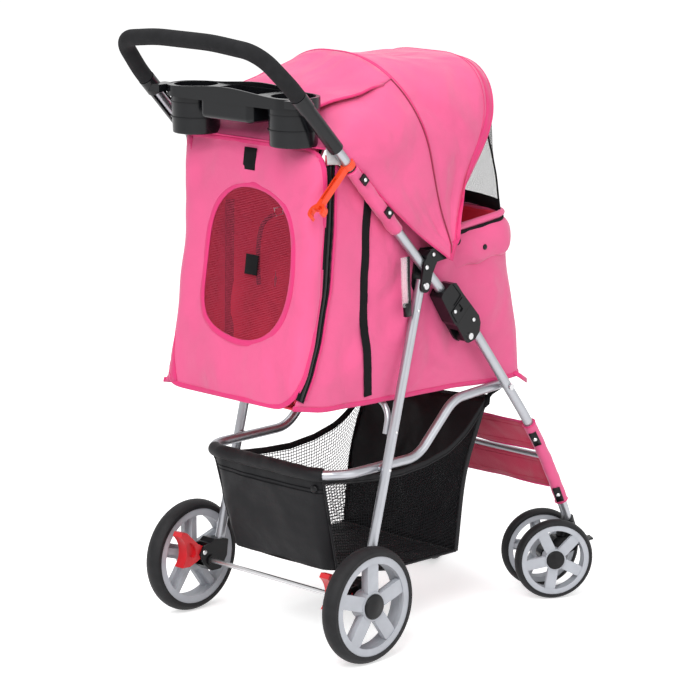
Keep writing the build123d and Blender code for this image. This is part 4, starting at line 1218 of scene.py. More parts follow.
@dataclass
class RearDoor:
    """Rear panel with a mesh window; its sides wrap round the corners to the zips."""

    cabin: Cabin
    window: tuple[Pair, ...] = (
        (18, 338), (-32, 337), (-74, 325), (-99, 304), (-112, 278), (-120, 232), (-120, 185), (-116, 153), (-102, 123),
        (-79, 101), (-44, 88), (-6, 87), (35, 97), (67, 110), (78, 142), (77, 190), (76, 239), (74, 279), (60, 308),
        (39, 328),
    )
    height: float = 404.0
    round: float = 20.0
    middle: Pair = (-20.0, 212.0)
    spread: Pair = (165.0, 202.0)
    squareness: int = 14
    seam_at: float = 374.0
    band_from_zip: float = 18.0

    def place(self, across: float, h: float, out: float = 0.0) -> Points:
        """Station of a point of the door.

        Args:
            across: Distance from the middle, measured over the cloth.
            h: Height up the door's face.
            out: Distance off the cloth.

        Returns:
            The station.
        """
        (x0, z0), (x1, z1) = self.cabin.rear_bottom, self.cabin.rear_top
        run = math.hypot(x1 - x0, z1 - z0)
        up = np.array([(x1 - x0) / run, 0, (z1 - z0) / run])
        ahead = np.array([up[2], 0, -up[0]])
        z = z0 + up[2] * h
        half = self.cabin.edges_at(z)[2] - self.cabin.pinch(z, across > 0) + 1.6
        flat, sign = half - self.round, 1.0 if across > 0 else -1.0
        over = abs(across) - flat
        if over <= 0:
            y, depth = across, -out
        elif over <= self.round * math.pi / 2:
            turn = over / self.round
            y = sign * (flat + (self.round + out) * math.sin(turn))
            depth = self.round - (self.round + out) * math.cos(turn)
        else:
            y, depth = sign * (half + out), self.round + over - self.round * math.pi / 2
        return np.array([x0, y, z0]) + up * h + ahead * depth

    def reach(self, h: float, left: bool) -> float:
        """How far the cloth reaches from the middle, over the corner to the zip.

        Args:
            h: Height up the door's face.
            left: Whether it is the left side.

        Returns:
            The distance over the cloth.
        """
        z = self.cabin.rear_bottom[1] + h * 0.99
        half = self.cabin.edges_at(z)[2] - self.cabin.pinch(z, left)
        return half - self.round + self.round * math.pi / 2 + max(self.cabin.zip_at(z) - self.round - 8.0, -self.round)

    def outline(self, turn: float) -> Pair:
        """Point of the door's own edge, in the same order as the window's edge.

        Args:
            turn: Angle about the window's middle.

        Returns:
            The distance across and the height.
        """
        c, s = math.cos(turn), math.sin(turn)
        squared = (abs(c) ** self.squareness + abs(s) ** self.squareness) ** (-1 / self.squareness)
        v = (s * squared + 1) / 2
        return c * squared * self.reach(v * self.height, c > 0), v * self.height

    def build(self) -> None:
        """Panel between the window's edge and the door's own, with its trim, and the window's mesh."""
        count, lines = 160, 18
        hole = through(rows(*[(y, h, 0) for y, h in self.window]), count, closed=True)[:, :2]
        for _ in range(3):
            hole = (np.roll(hole, 4, axis=0) + 2 * hole + np.roll(hole, -4, axis=0)) / 4
        grid, away = np.zeros((2, lines, count, 3))
        for c, (y0, h0) in enumerate(hole):
            across, up = np.subtract((y0, h0), self.middle) / self.spread
            y1, h1 = self.outline(math.atan2(up, across))
            for r, t in enumerate(np.linspace(0, 1, lines)):
                y, h = y0 + (y1 - y0) * t, h0 + (h1 - h0) * t
                grid[r, c] = self.place(y, h, 1.4 + 3.5 * math.sin(math.pi * t))
                away[r, c] = self.place(y, h, 1.0) - self.place(y, h, 0.0)
        loose = np.sin(math.pi * np.linspace(0, 1, lines))[:, None] ** 0.5
        grid += away * (creases(grid * np.array([1.0, 1.0, 0.6]), 66.0, 5.0) * loose * 7.0)[..., None]
        cloth = thickened(self.ring("door_cloth", grid, grid_faces(lines, count, closed=True), -1), 1.4, 1.0)
        self.trim(tinted(cloth, Look.PINK), grid, away)
        self.mesh(hole)

    def ring(self, name: str, grid: Points, faces: list[tuple[int, ...]], way: int) -> Piece:
        """A layer whose last column meets its first, with the threads lying level and upright.

        Args:
            name: The piece's name.
            grid: Its rows.
            faces: Its faces.
            way: -1 turns the faces over.

        Returns:
            The layer.
        """
        piece = new_object(name, grid, [f[::way] for f in faces])
        layer = piece.data.uv_layers.new(name="cloth")
        for loop in piece.data.loops:
            layer.data[loop.index].uv = piece.data.vertices[loop.vertex_index].co[1:]
        return piece

    def trim(self, panel: Piece, grid: Points, away: Points) -> None:
        """Bindings round window and door, stitch rows, tapes and the pull tab.

        Args:
            panel: The door's cloth.
            grid: Its rows.
            away: Its outward directions.
        """
        made = [panel]
        for row, lift, profile, look in (
            (0, 0.8, box_profile(10.0, 2.6), Look.BINDING), (-1, 0.8, box_profile(8.0, 2.4), Look.BINDING),
            (1, 0.5, ring_profile(0.55, 5), Look.PINK), (2, 0.5, ring_profile(0.55, 5), Look.PINK),
        ):
            out = away[row] if look is Look.BINDING else None
            made.append(tinted(sweep("binding", grid[row] + away[row] * lift, profile, out, closed=True), look))
        line = np.array([self.place(y, self.seam_at + 0.012 * y, 1.9) for y in np.linspace(-128, 128, 60)])
        made.append(tinted(sweep("top_seam", line, ring_profile(0.7, 5)), Look.BINDING))
        run = [(self.reach(h, True) - self.band_from_zip, h) for h in np.linspace(4, 400, 60)]
        band, over = (np.array([self.place(across, h, lift) for across, h in run]) for lift in (3.0, 4.0))
        made.append(tinted(sweep("left_corner_band", band, box_profile(12.0, 1.6), over - band), Look.BINDING))
        back = self.place(0, 0, 1) - self.place(0, 0, 0)
        for y, heights, lift in ((-5, (360, 372, 384, 395), 6.2), (-29, (197, 208, 219, 229), 3.4)):
            line = np.array([self.place(y, h, lift) for h in heights])
            made.append(tinted(sweep("tape", line, box_profile(27, 1.6), back), Look.TAPE))
        whole = joined("rear_door_panel", made)
        dress(whole, "rear_door", Look.PINK, ("rear_door",))
        self.cabin.folded(whole)

    def mesh(self, hole: Points) -> None:
        """Mesh of the window, a little slack.

        Args:
            hole: The window's edge, as rows of distance across and height.
        """
        middle = hole.mean(axis=0)
        grid = np.zeros((14, len(hole), 3))
        for r, t in enumerate(np.linspace(1, 0, 14)):
            edge = middle + (hole - middle) * max(t, 0.001)
            grid[r] = [self.place(y, h, 1.2 - 3.0 * (1 - t * t)) for y, h in edge]
        piece = self.ring("door_window_mesh", grid, grid_faces(*grid.shape[:2], closed=True), 1)
        dress(piece, "rear_door", Look.DOOR_MESH)
        self.cabin.folded(piece)


# ---------------------------------------- canopy


@dataclass
class Canopy:
    """Hood over two wire bows, with a flap behind and a mesh window in front."""

    pivot: Pair = (212.0, 631.0)
    front: tuple[float, ...] = (60.0, 167.6, 334.0, 133.0)
    front_bow: tuple[float, ...] = (65.0, 168.2, 330.2, 132.0)
    mid_bow: tuple[float, ...] = (104.0, 174.8, 323.6, 160.0)
    front_sag: float = 6.0
    rear_sag: float = -7.0
    flap_start: float = 21.2
    samples: int = 81
    gather: float = 188.0
    rear_crown: Triple = (-20.0, 0.0, 834.0)
    front_crown: Triple = (351.0, 0.0, 930.0)
    window_foot: Triple = (378.0, 0.0, 690.0)

    def arch(self, angle: float, half: float, reach: float, corner: float) -> Points:
        """Bow-shaped line from the right pivot over the top to the left one.

        Args:
            angle: The bow's tilt about the pivot.
            half: Half its width.
            reach: Its height from the pivot.
            corner: Radius of its corners.

        Returns:
            The line, spread over the bow pivots and drawn at its ends to one point below them.
        """
        turn = np.linspace(0, math.pi / 2, 24)
        right = np.stack([-half + corner - corner * np.cos(turn), reach - corner + corner * np.sin(turn)], axis=1)
        flat = np.vstack([[(-half, 4.0)], right, (right * np.array([-1, 1]))[::-1], [(half, 4.0)]])
        y, up = resampled(flat, self.samples).T
        c, s = math.cos(math.radians(angle)), math.sin(math.radians(angle))
        y = y + np.sign(y) * (self.gather - np.abs(y)) * np.exp(-((up / 55.0) ** 2))
        line = np.stack([self.pivot[0] + up * c, y, self.pivot[1] + up * s], axis=1)
        line[0] = self.corner_point()
        line[-1] = mirrored(line[0])
        return line

    def corner_point(self) -> Triple:
        """The hood's gathered right corner, below the bow pivot."""
        return self.pivot[0] - 5, -(self.gather + 1), self.pivot[1] - 9

    def rear_line(self) -> Points:
        """Canopy's rear edge: up the handle tubes' sleeves and across above the door.

        Returns:
            The line, from the right corner to the left one.
        """
        tubes = [(271.2 - TUBE_BACK * u + TUBE_UP * off,
                  0.012 * (u - 150) - 180.5,
                  498.6 + TUBE_UP * u + TUBE_BACK * off)
                 for u, off in ((205, 25), (250, 18), (300, 12), (350, 9), (395, 7.6))]
        across = [(-26, -172, 814), (-44, -162, 823), (-53, -140, 825), (-55, -70, 825)]
        right = rows(self.corner_point(), *tubes, *across)
        return through(np.vstack([right, mirrored(right)[::-1]]), self.samples)

    def build(self) -> None:
        """Make hood, seams, flap and window."""
        span = np.linspace(0, 1, self.samples)
        side = np.minimum(span, 1 - span)
        front = self.arch(*self.front)
        front[:, 0] -= 9.0 * np.exp(-(((side - 0.13) / 0.09) ** 2))
        bow = self.arch(*self.front_bow)
        mid = self.arch(*self.mid_bow)
        rear = self.rear_line()
        hood = np.array([
            front, blended(front, bow, 0.5), bow,
            *self.between(bow, mid, 10, self.front_sag), mid,
            *self.between(mid, rear, 12, self.rear_sag), rear,
        ])
        fore, aft = (np.sin(math.pi * np.linspace(0, 1, count)[1:-1]) ** 0.6 for count in (11, 13))
        loose = np.concatenate([[0.2, 0.1, 0.0], fore, [0.0], aft, [0.0]])
        height = creases(hood * np.array([1.0, 0.6, 1.0]), 85.0, 1.7) * 8.0
        height += self.tension(hood) + self.drape(len(hood), side)
        hood += self.outside(hood) * (height * loose[:, None] * np.clip(side / 0.05, 0, 1))[..., None]
        piece = baked(sheet("canopy_hood", hood, 1.3, -1.0))
        dress(piece, None, Look.PINK, ("canopy",))
        declared(piece)
        self.turned(piece, self.rear_crown)
        self.seams(hood)
        self.flap(hood)
        self.window(front)

    def outside(self, hood: Points) -> Points:
        """Unit normals that point away from the cabin."""
        return -normals_of(hood)

    def drape(self, count: int, side: Points) -> Points:
        """Long folds that lie beside the rear edge and across the rear panel.

        Args:
            count: Number of rows.
            side: Each column's share of the way from the nearer corner.

        Returns:
            One height for each point.
        """
        row = np.arange(count)[:, None]
        ridges = ((5.0, 21.6, 0.9), (-4.0, 19.4, 1.1), (3.0, 16.6, 1.0))
        ridge = sum(high * np.exp(-(((row - at) / wide) ** 2)) for high, at, wide in ridges)
        crown = 3.0 * np.sin(row * 1.1) * np.exp(-(((side - 0.36) / 0.10) ** 2)) * (row > 12)
        return ridge * np.exp(-(((side - 0.17) / 0.10) ** 2)) + crown

    def tension(self, hood: Points) -> Points:
        """Fans of fine folds that run out from the gathered corners.

        Args:
            hood: The hood's grid.

        Returns:
            One height for each point.
        """
        x, z = hood[..., 0] - self.pivot[0], hood[..., 2] - self.pivot[1]
        turn = np.arctan2(z, x)
        fan = np.sin(turn * 17.0) + 0.5 * np.sin(turn * 31.0 + 1.0)
        return fan * 2.6 * np.exp(-(((np.hypot(x, z) - 110) / 90.0) ** 2))

    def between(self, first: Points, last: Points, parts: int, sag: float) -> list[Points]:
        """Lines that part the cloth between two others, without the two, and sag the most halfway."""
        return [self.sagged(blended(first, last, k / parts), sag * math.sin(math.pi * k / parts))
                for k in range(1, parts)]

    def sagged(self, line: Points, depth: float) -> Points:
        """Pull a line towards the pivot by a depth that grows to the crown.

        Args:
            line: The line.
            depth: The most that it moves.

        Returns:
            The moved line.
        """
        from_pivot = line - (self.pivot[0], 0, self.pivot[1])
        reach = np.linalg.norm(from_pivot[:, [0, 2]], axis=1)
        share = np.clip((reach - 60) / 260, 0, 1) ** 1.2
        return line - unit(from_pivot * np.array([1, 0.4, 1])) * (share * depth)[:, None]

    def turned(self, piece: Piece, still: Triple) -> None:
        """Bake a piece's transform into its mesh; the still point and the front crown are worked out but not used."""
        start, end = to_frame(rows(still, self.front_crown))
        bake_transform(piece)

    def seams(self, hood: Points) -> None:
        """Piping along the front edge, the bow seams and the rear edge, with a thin dark line of painted shadow beside
        the middle seam's piping.

        Args:
            hood: The hood's grid.
        """
        made = []
        outside = self.outside(hood)
        # The dark line on row 12 is painted shadow beside the middle seam's piping.
        for row, back, lift, radius, look in (
            (0, 0.0, 0.6, 2.8, Look.BINDING), (2, 0.0, 1.5, 0.7, Look.BINDING), (12, 0.0, 1.9, 1.3, Look.SEAM_SHADOW),
            (12, 0.35, 0.6, 2.0, Look.BINDING), (-1, 0.0, 0.6, 1.9, Look.BINDING),
        ):
            line = blended(hood[row], hood[row - 1], back) + blended(outside[row], outside[row - 1], back) * lift
            made.append(tinted(sweep("canopy_seam", line, ring_profile(radius, 8)), look))
        line = blended(hood[0], hood[2], 0.35) + outside[1] * 1.9
        made.append(tinted(sweep("canopy_front_band", line, box_profile(17.0, 1.0), outside[1]), Look.BINDING))
        whole = joined("canopy_piping", made)
        dress(whole, None, Look.BINDING)
        self.turned(whole, self.rear_crown)

    def flap(self, hood: Points) -> None:
        """Half-moon flap sewn to the middle seam; it stands off the rear panel along its lower edge.

        Args:
            hood: The hood's grid.
        """
        middle, scale, start = (self.samples - 1) / 2, self.samples / 61.0, self.flap_start
        ends = ((start, 0.10, 0), (21.9, 0.30, 0), (22.8, 0.50, 0), (24.0, 0.66, 0), (26, 0.78, 0), (30, 0.84, 0))
        edge = through(rows(*ends), 24)[:, :2] * (scale, 1)
        edge = np.vstack([edge, ((2 * middle, 0) + edge * (-1, 1))[::-1][1:]])
        count, lines = len(edge), 12
        grid = np.zeros((lines, count, 3))
        for c, (column, drop) in enumerate(edge):
            s = c / (count - 1)
            first = start * scale + (2 * middle - 2 * start * scale) * s
            for r in range(lines):
                t = r / (lines - 1)
                at, down = first + (column - first) * t, 12 + 12 * drop * t
                i, k = min(int(at), self.samples - 2), min(int(down), 23)
                one, two = (blended(hood[row][i], hood[row][i + 1], at - i) for row in (k, k + 1))
                lift = 2.6 + 13.0 * t**1.4 * math.sin(math.pi * s) ** 0.4
                grid[r, c] = blended(one, two, down - k) + np.array([-0.35, 0, 0.94]) * lift
        made = [tinted(sheet("flap_cloth", grid, 1.2, -1.0), Look.PINK)]
        for row, radius in ((-1, 2.5), (0, 2.2)):
            made.append(tinted(sweep("flap_edge", grid[row], ring_profile(radius, 8)), Look.BINDING))
        whole = joined("canopy_rear_flap", made)
        dress(whole, None, Look.PINK)
        self.turned(whole, self.rear_crown)

    def window(self, front: Points) -> None:
        """Mesh between the canopy's front edge and the cabin's front rim.

        Args:
            front: The canopy's front edge.
        """
        top = resampled(front[(front[:, 2] > 815)], 50)
        ends = rows((372, -148, 676), (377, -120, 677), (378, 0, 678), (377, 120, 677), (372, 148, 676))
        bottom = through(ends, 50)
        swell = [4.0 * math.sin(math.pi * t) for t in np.linspace(0, 1, 14)]
        grid = np.array([blended(bottom, top, t) + (x, 0, 0) for t, x in zip(np.linspace(0, 1, 14), swell)])
        grid = creased(grid, 60.0, 4.4, 2.0)
        hem = sweep("window_hem", blended(bottom, top, 0.06), edge_profile(1.4, 22.0), (1.0, 0, 0.2))
        made = [tinted(net("window_cloth", grid), Look.WINDOW_MESH), tinted(hem, Look.TAPE)]
        for column in (0, -1):
            made.append(tinted(sweep("window_edge", grid[:, column], ring_profile(1.6, 8)), Look.TAPE))
        whole = joined("front_window", made)
        dress(whole, None, Look.WINDOW_MESH, ("canopy_window",))
        self.turned(whole, self.window_foot)


# ---------------------------------------- basket


@dataclass
class Basket:
    """Low basket: solid rear and front walls, floor and see-through sides, hung from the basket tube."""

    rear_top: Pair = (-20.0, 289.0)
    rear_low: Pair = (20.0, 129.0)
    front_low: Pair = (291.0, 109.0)
    front_high: Pair = (361.0, 362.0)
    half_rear: float = 118.5
    half_front: float = 129.0
    tube_bend: float = 56.0
    hem_z: float = 296.0

    def folded(self, piece: Piece) -> None:
        """Give a basket piece its own copy of its mesh; an anchor by its tube is worked out but not used."""
        anchor = to_frame(rows((100, 0, 300)))[0]
        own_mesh(piece)

    def rear_edge(self, t: float) -> Points:
        """Right side's rear edge, from the floor (0) up to the tube (1)."""
        x, z = blended(np.array(self.rear_low), np.array(self.rear_top), t)
        return np.array([x, -(self.half_rear + 6.5 * t), z])

    def front_edge(self, t: float) -> Points:
        """Right side's front edge, from the floor (0) up to the corner strap (1).

        Args:
            t: Share of the way up.

        Returns:
            The station.
        """
        line = through(rows(self.front_low, (309, 235), (344, 325), self.front_high), 40)
        i = min(int(t * 39), 38)
        x, z = blended(line[i], line[i + 1], t * 39 - i)
        return np.array([x, -(self.half_front + 3.0 * t), z])

    def build(self) -> None:
        """Make the walls, the sides and their bindings."""
        solid = joined("basket_walls", [*self.rear_wall(), *self.front_wall(), self.floor()])
        dress(solid, "basket_frame", Look.BLACK_CLOTH, ("basket",))
        self.folded(solid)
        for name, sign in SIDES:
            whole = joined(f"basket_side_{name}", self.side(sign))
            dress(whole, "basket_frame", Look.BLACK_MESH)
            self.folded(whole)

    def rear_place(self, t: float, s: float) -> Triple:
        """Station on the rear wall.

        Args:
            t: Share of the way down.
            s: Share of the way across.

        Returns:
            The station.
        """
        t, s = 1 - t, 2 * s - 1
        x, y, z = self.rear_edge(t)
        corner = max(abs(s) - 0.80, 0) / 0.20
        belly = 9.0 * math.sin(math.pi * t) * (1 - s * s)
        return x - belly - (14.0 - 6.0 * t) * (1 - corner**2), -s * y, z

    def rear_wall(self) -> list[Piece]:
        """Rear wall from the hem round the tube's bends down to the floor, its seams and its button.

        Returns:
            The wall's parts.
        """
        grid = creased(laid(24, 57, self.rear_place), 58.0, 2.2, 3.4, (1, 0.7, 1.3))
        made = [tinted(sheet("rear_cloth", grid, 1.2), Look.BLACK_CLOTH)]
        r, z = self.tube_bend, self.hem_z
        bend = [(28 - r * math.cos(a), -95 - r * math.sin(a), z) for a in np.radians((33, 25, 17, 9, 0))]
        right = rows(*bend, (-28, -50, z), (-28, -10, z))
        line = through(np.vstack([right, mirrored(right)[::-1]]), 56)
        hem = tube("rear_hem", creased(swept_points(line, ring_profile(11.4, 22)), 21.0, 9.0, 0.9))
        made.append(tinted(hem, Look.BLACK_CLOTH))
        for row in (3, 4):
            made.append(tinted(sweep("rear_seam", grid[row] + (-0.9, 0, 0.8 * row), ring_profile(0.8, 6)), Look.TAPE))
        for end in (0, -1):
            made.append(tinted(sweep("rear_side_seam", grid[:, end], ring_profile(1.8, 6)), Look.TAPE))
        profile = rows((0.4, 2.4), (4.5, 2.0), (6.0, 0.8), (6.2, -1.5))
        made.append(tinted(lathe("hem_button", (-26, -112, 272), (-0.96, -0.28, 0), profile, 16), Look.PLASTIC))
        return made

    def front_place(self, t: float, s: float) -> Triple:
        """Station on the front wall.

        Args:
            t: Share of the way up.
            s: Share of the way across.

        Returns:
            The station.
        """
        s = 2 * s - 1
        x, y, z = self.front_edge(t)
        swell = 6 * math.sin(math.pi * t) * (1 - s * s)
        return x + swell, -s * y, z - 9.0 * (1 - s * s) * t

    def front_wall(self) -> list[Piece]:
        """High front wall, leaning forward, with its hem.

        Returns:
            The wall's parts.
        """
        grid = creased(laid(26, 37, self.front_place), 70.0, 6.1, 4.0)
        hem = sweep("front_hem", grid[-1] + (0, 0, -2.0), edge_profile(3.0, 12.0), (1.0, 0, 0.2))
        return [tinted(piece, Look.BLACK_CLOTH) for piece in (sheet("front_cloth", grid, 1.2), hem)]

    def floor_place(self, t: float, s: float) -> Triple:
        """Station on the floor.

        Args:
            t: Share of the way to the front.
            s: Share of the way across.

        Returns:
            The station.
        """
        s = 2 * s - 1
        rear, front = self.rear_edge(0.0), self.front_edge(0.0)
        x = rear[0] - 14.0 * (1 - t) * (1 - s * s) + (front[0] - rear[0]) * t
        z = rear[2] + (front[2] - rear[2]) * min(t * 2.5, 1)
        return x, -s * blended(rear[1], front[1], t), z - 3.0 * (1 - s * s) * math.sin(math.pi * t)

    def floor(self) -> Piece:
        """Floor with a slight sag; its corners are the walls' corners."""
        return tinted(sheet("floor_cloth", laid(25, 29, self.floor_place), 1.4), Look.BLACK_CLOTH)

    def side_top(self, x: float) -> float:
        """Height of a side's top edge."""
        along = [-26, 11, 50, 98, 157, 216, 260, 298, 344, 361]
        return float(np.interp(x, along, [290, 286, 280, 275, 272, 277, 287, 299, 336, 362]))

    def side_place(self, t: float, s: float) -> Points:
        """Station on the right mesh side, between the walls' edges.

        Args:
            t: Share of the way up.
            s: Share of the way to the front.

        Returns:
            The station.
        """
        low0, low1 = self.rear_edge(0.0), self.front_edge(0.0)
        low = blended(low0, low1, s)
        low[2] = low0[2] + (low1[2] - low0[2]) * min(s * 2.5, 1)
        top = blended(self.rear_edge(1.0), self.front_edge(1.0), s)
        top[2] = self.side_top(top[0])
        point = blended(low, top, t)
        if s > 0.75:
            point = blended(point, self.front_edge(t), ease((s - 0.75) / 0.25))
        slack = 6.0 * math.sin(math.pi * t) * math.sin(math.pi * s)
        return point + (0, slack, 0)

    def side(self, sign: int) -> list[Piece]:
        """Mesh side with its bindings and corner straps.

        Args:
            sign: -1 for the right side, 1 for the left.

        Returns:
            The side's parts.
        """
        grid = laid(24, 64, self.side_place) * (1, -sign, 1)
        made = [tinted(net("side_cloth", grid), Look.BLACK_MESH)]
        out = (0, sign, 0)
        for path, profile, way in (
            (grid[-1] - (0, 0, 4.0), edge_profile(2.4, 11.0), out),
            (grid[-1] + (0, sign * 1.6, -7.0), ring_profile(0.7, 6), None),
            (grid[0], ring_profile(2.0, 6), None), (grid[:, 0], ring_profile(2.0, 8), None),
            (grid[:, -1], edge_profile(3.0, 9.0), out),
        ):
            made.append(tinted(sweep("side_binding", path, profile, way), Look.BLACK_CLOTH))
        for path in (((359, 132, 357), (362, 141, 370), (371, 152, 380)),
                     ((352, 131, 345), (358, 137, 352), (361, 136, 364))):
            strap = sweep("corner_strap", rows(*path) * (1, sign, 1), box_profile(8, 1.6), (0, sign * 0.7, 0.7))
            made.append(tinted(strap, Look.TAPE))
        return made


# ---------------------------------------- foot panel, sleeves


def loose_tube(path: Points, radius: float, count: int, size: float, seed: float, depth: float, lift: float) -> Points:
    """Rings of cloth round a path, creased as by creases and lifted off the radius."""
    grid = swept_points(path, ring_profile(radius, count))
    return grid + unit(grid - path[:, None]) * (creases(grid, size, seed) * depth + lift)[..., None]


@dataclass
class FootPanel:
    """Two cloth bands between the front legs, with a sleeve round each leg."""

    leg_top: Pair = (272.0, 508.0)
    leg_bend: Pair = (474.8, 249.4)
    leg_foot: Pair = (532.2, 117.1)
    bend_radius: float = 1040.0
    leg_y: float = 171.0
    sleeve: float = 10.6
    sleeve_ends: Pair = (312.0, 163.0)
    clips_at: Pair = (284.0, 176.0)
    bands: tuple[Pair, ...] = ((311.0, 257.0), (241.0, 185.0))

    def __post_init__(self) -> None:
        """Work out the leg's axis in side view: two runs joined by their tangent arc."""
        top, bend, foot = (np.array(p) for p in (self.leg_top, self.leg_bend, self.leg_foot))
        up, down = unit(top - bend), unit(foot - bend)
        half = math.acos(float(up @ down)) / 2
        reach = self.bend_radius / math.tan(half)
        centre = bend + unit(up + down) * self.bend_radius / math.sin(half)
        first, last = bend + up * reach - centre, bend + down * reach - centre
        turn = np.linspace(math.atan2(first[1], first[0]), math.atan2(last[1], last[0]), 24)
        arc = centre + self.bend_radius * np.stack([np.cos(turn), np.sin(turn)], axis=1)
        self.leg_line = np.vstack([top, arc, foot])[::-1]

    def leg_at(self, z: float) -> float:
        """How far forward the leg's axis is at a height."""
        return float(np.interp(z, self.leg_line[:, 1], self.leg_line[:, 0]))

    def band(self, high: float, low: float) -> list[Piece]:
        """One band with its bound edges, wrapped over the legs at its ends.

        Args:
            high: Height of its upper edge.
            low: Height of its lower edge.

        Returns:
            The band's pieces.
        """
        def place(t: float, s: float) -> Triple:
            """Station on the band.

            Args:
                t: Share of the way down.
                s: Share of the way across.

            Returns:
                The station.
            """
            s, z = 2 * s - 1, blended(high, low, t)
            lift = self.sleeve * 0.85 * ease((abs(s) - 0.88) / 0.12)
            return self.leg_at(z) + 2 - 4.0 * math.sin(math.pi * t) * (1 - s * s) + lift, s * 170, z + lift * 0.45

        grid = creased(laid(12, 49, place), 48.0, high, 2.6, (1, 0.7, 1.4))
        # The bands and their stitch lines take the darker pink, which is painted shade.
        made = [tinted(sheet("band", grid, 1.6, 0.0), Look.FOOT_SHADED)]
        for at, ahead, profile, look in (((0, -1), 0.0, ring_profile(1.9, 8), Look.BINDING),
                                         ((2, -3), -1.0, ring_profile(0.6, 5), Look.FOOT_SHADED)):
            made += [tinted(sweep("band_edge", grid[row] + (ahead, 0, 0), profile), look) for row in at]
        return made

    def leg_sleeve(self, sign: int) -> list[Piece]:
        """Cloth sleeve round one leg with its two clips and rivets.

        Args:
            sign: -1 for the right side, 1 for the left.

        Returns:
            The sleeve's parts.
        """
        path = np.array([(self.leg_at(z), sign * self.leg_y, z) for z in np.linspace(*self.sleeve_ends, 46)])
        grid = loose_tube(path, self.sleeve, 22, 20.0, 7.0 + sign, 0.9, 0.0)
        made = [tinted(tube("leg_sleeve", grid), Look.PINK)]
        for row in (0, -1):
            made.append(tinted(sweep("sleeve_hem", grid[row], ring_profile(1.2, 6), closed=True), Look.BINDING))
        profile = rows((0.3, 2.0), (2.2, 1.7), (3.5, 0.7), (3.8, -0.6))
        for z in self.clips_at:
            away = np.array([-0.82, sign * 0.57, 0.0])
            at = np.array([self.leg_at(z), sign * self.leg_y, z]) + away * (self.sleeve + 1.6)
            lean = unit(np.array([self.leg_at(z - 12) - self.leg_at(z + 12), 0, -24.0])) * 14
            clip = sweep("leg_clip", np.array([at - lean, at, at + lean]), box_profile(13, 3.2), away)
            rivet = lathe("leg_rivet", at + away * 1.6, away, profile, 16)
            made += [tinted(clip, Look.PLASTIC), tinted(rivet, Look.STEEL)]
        return made

    def build(self) -> None:
        """Bands, bindings, sleeves and clips."""
        made = [piece for high, low in self.bands for piece in self.band(high, low)]
        made += self.leg_sleeve(-1) + self.leg_sleeve(1)
        dress(joined("foot_panel_cloth_painted_shade", made), "front_frame", Look.FOOT_SHADED, ("foot_panel",))


@dataclass
class TubeSleeves:
    """Cloth sleeves with snaps that hang the cabin from the handle tubes."""

    low: float = 251.0
    high: float = 400.0
    tube_y: float = 171.0
    snap_y: float = 186.3
    snaps_at: Pair = (296.0, 376.0)
    foot: Pair = (260.0, 488.0)
    lift: float = 15.4

    def along(self, u: float, y: float) -> Triple:
        """Point on the handle tube's axis."""
        x, z = self.foot
        return x - TUBE_BACK * u + TUBE_UP * self.lift, y, z + TUBE_UP * u + TUBE_BACK * self.lift

    def build(self) -> None:
        """Sleeve, hems and snap heads on each tube."""
        profile = rows((0.3, 2.0), (2.0, 1.8), (3.2, 0.8), (3.4, -0.8))
        for name, sign in SIDES:
            path = np.array([self.along(u, sign * self.tube_y) for u in np.linspace(self.low, self.high, 40)])
            grid = loose_tube(path, 9.9, 24, 22.0, 3.0 + sign, 2.2, 0.4)
            made = [tinted(sheet("sleeve_cloth", np.concatenate([grid, grid[:, :1]], axis=1)), Look.PINK)]
            for row in (0, -1):
                made.append(tinted(sweep("sleeve_hem", grid[row], ring_profile(1.1, 6), closed=True), Look.BINDING))
            for u in self.snaps_at:
                head = lathe("snap_head", self.along(u, sign * self.snap_y), (0, sign, 0), profile, 16)
                made.append(tinted(head, Look.STEEL))
            dress(joined(f"tube_sleeve_{name}", made), "upper_frame", Look.PINK, ("tube_sleeves",))


# ---------------------------------------- small hard fittings


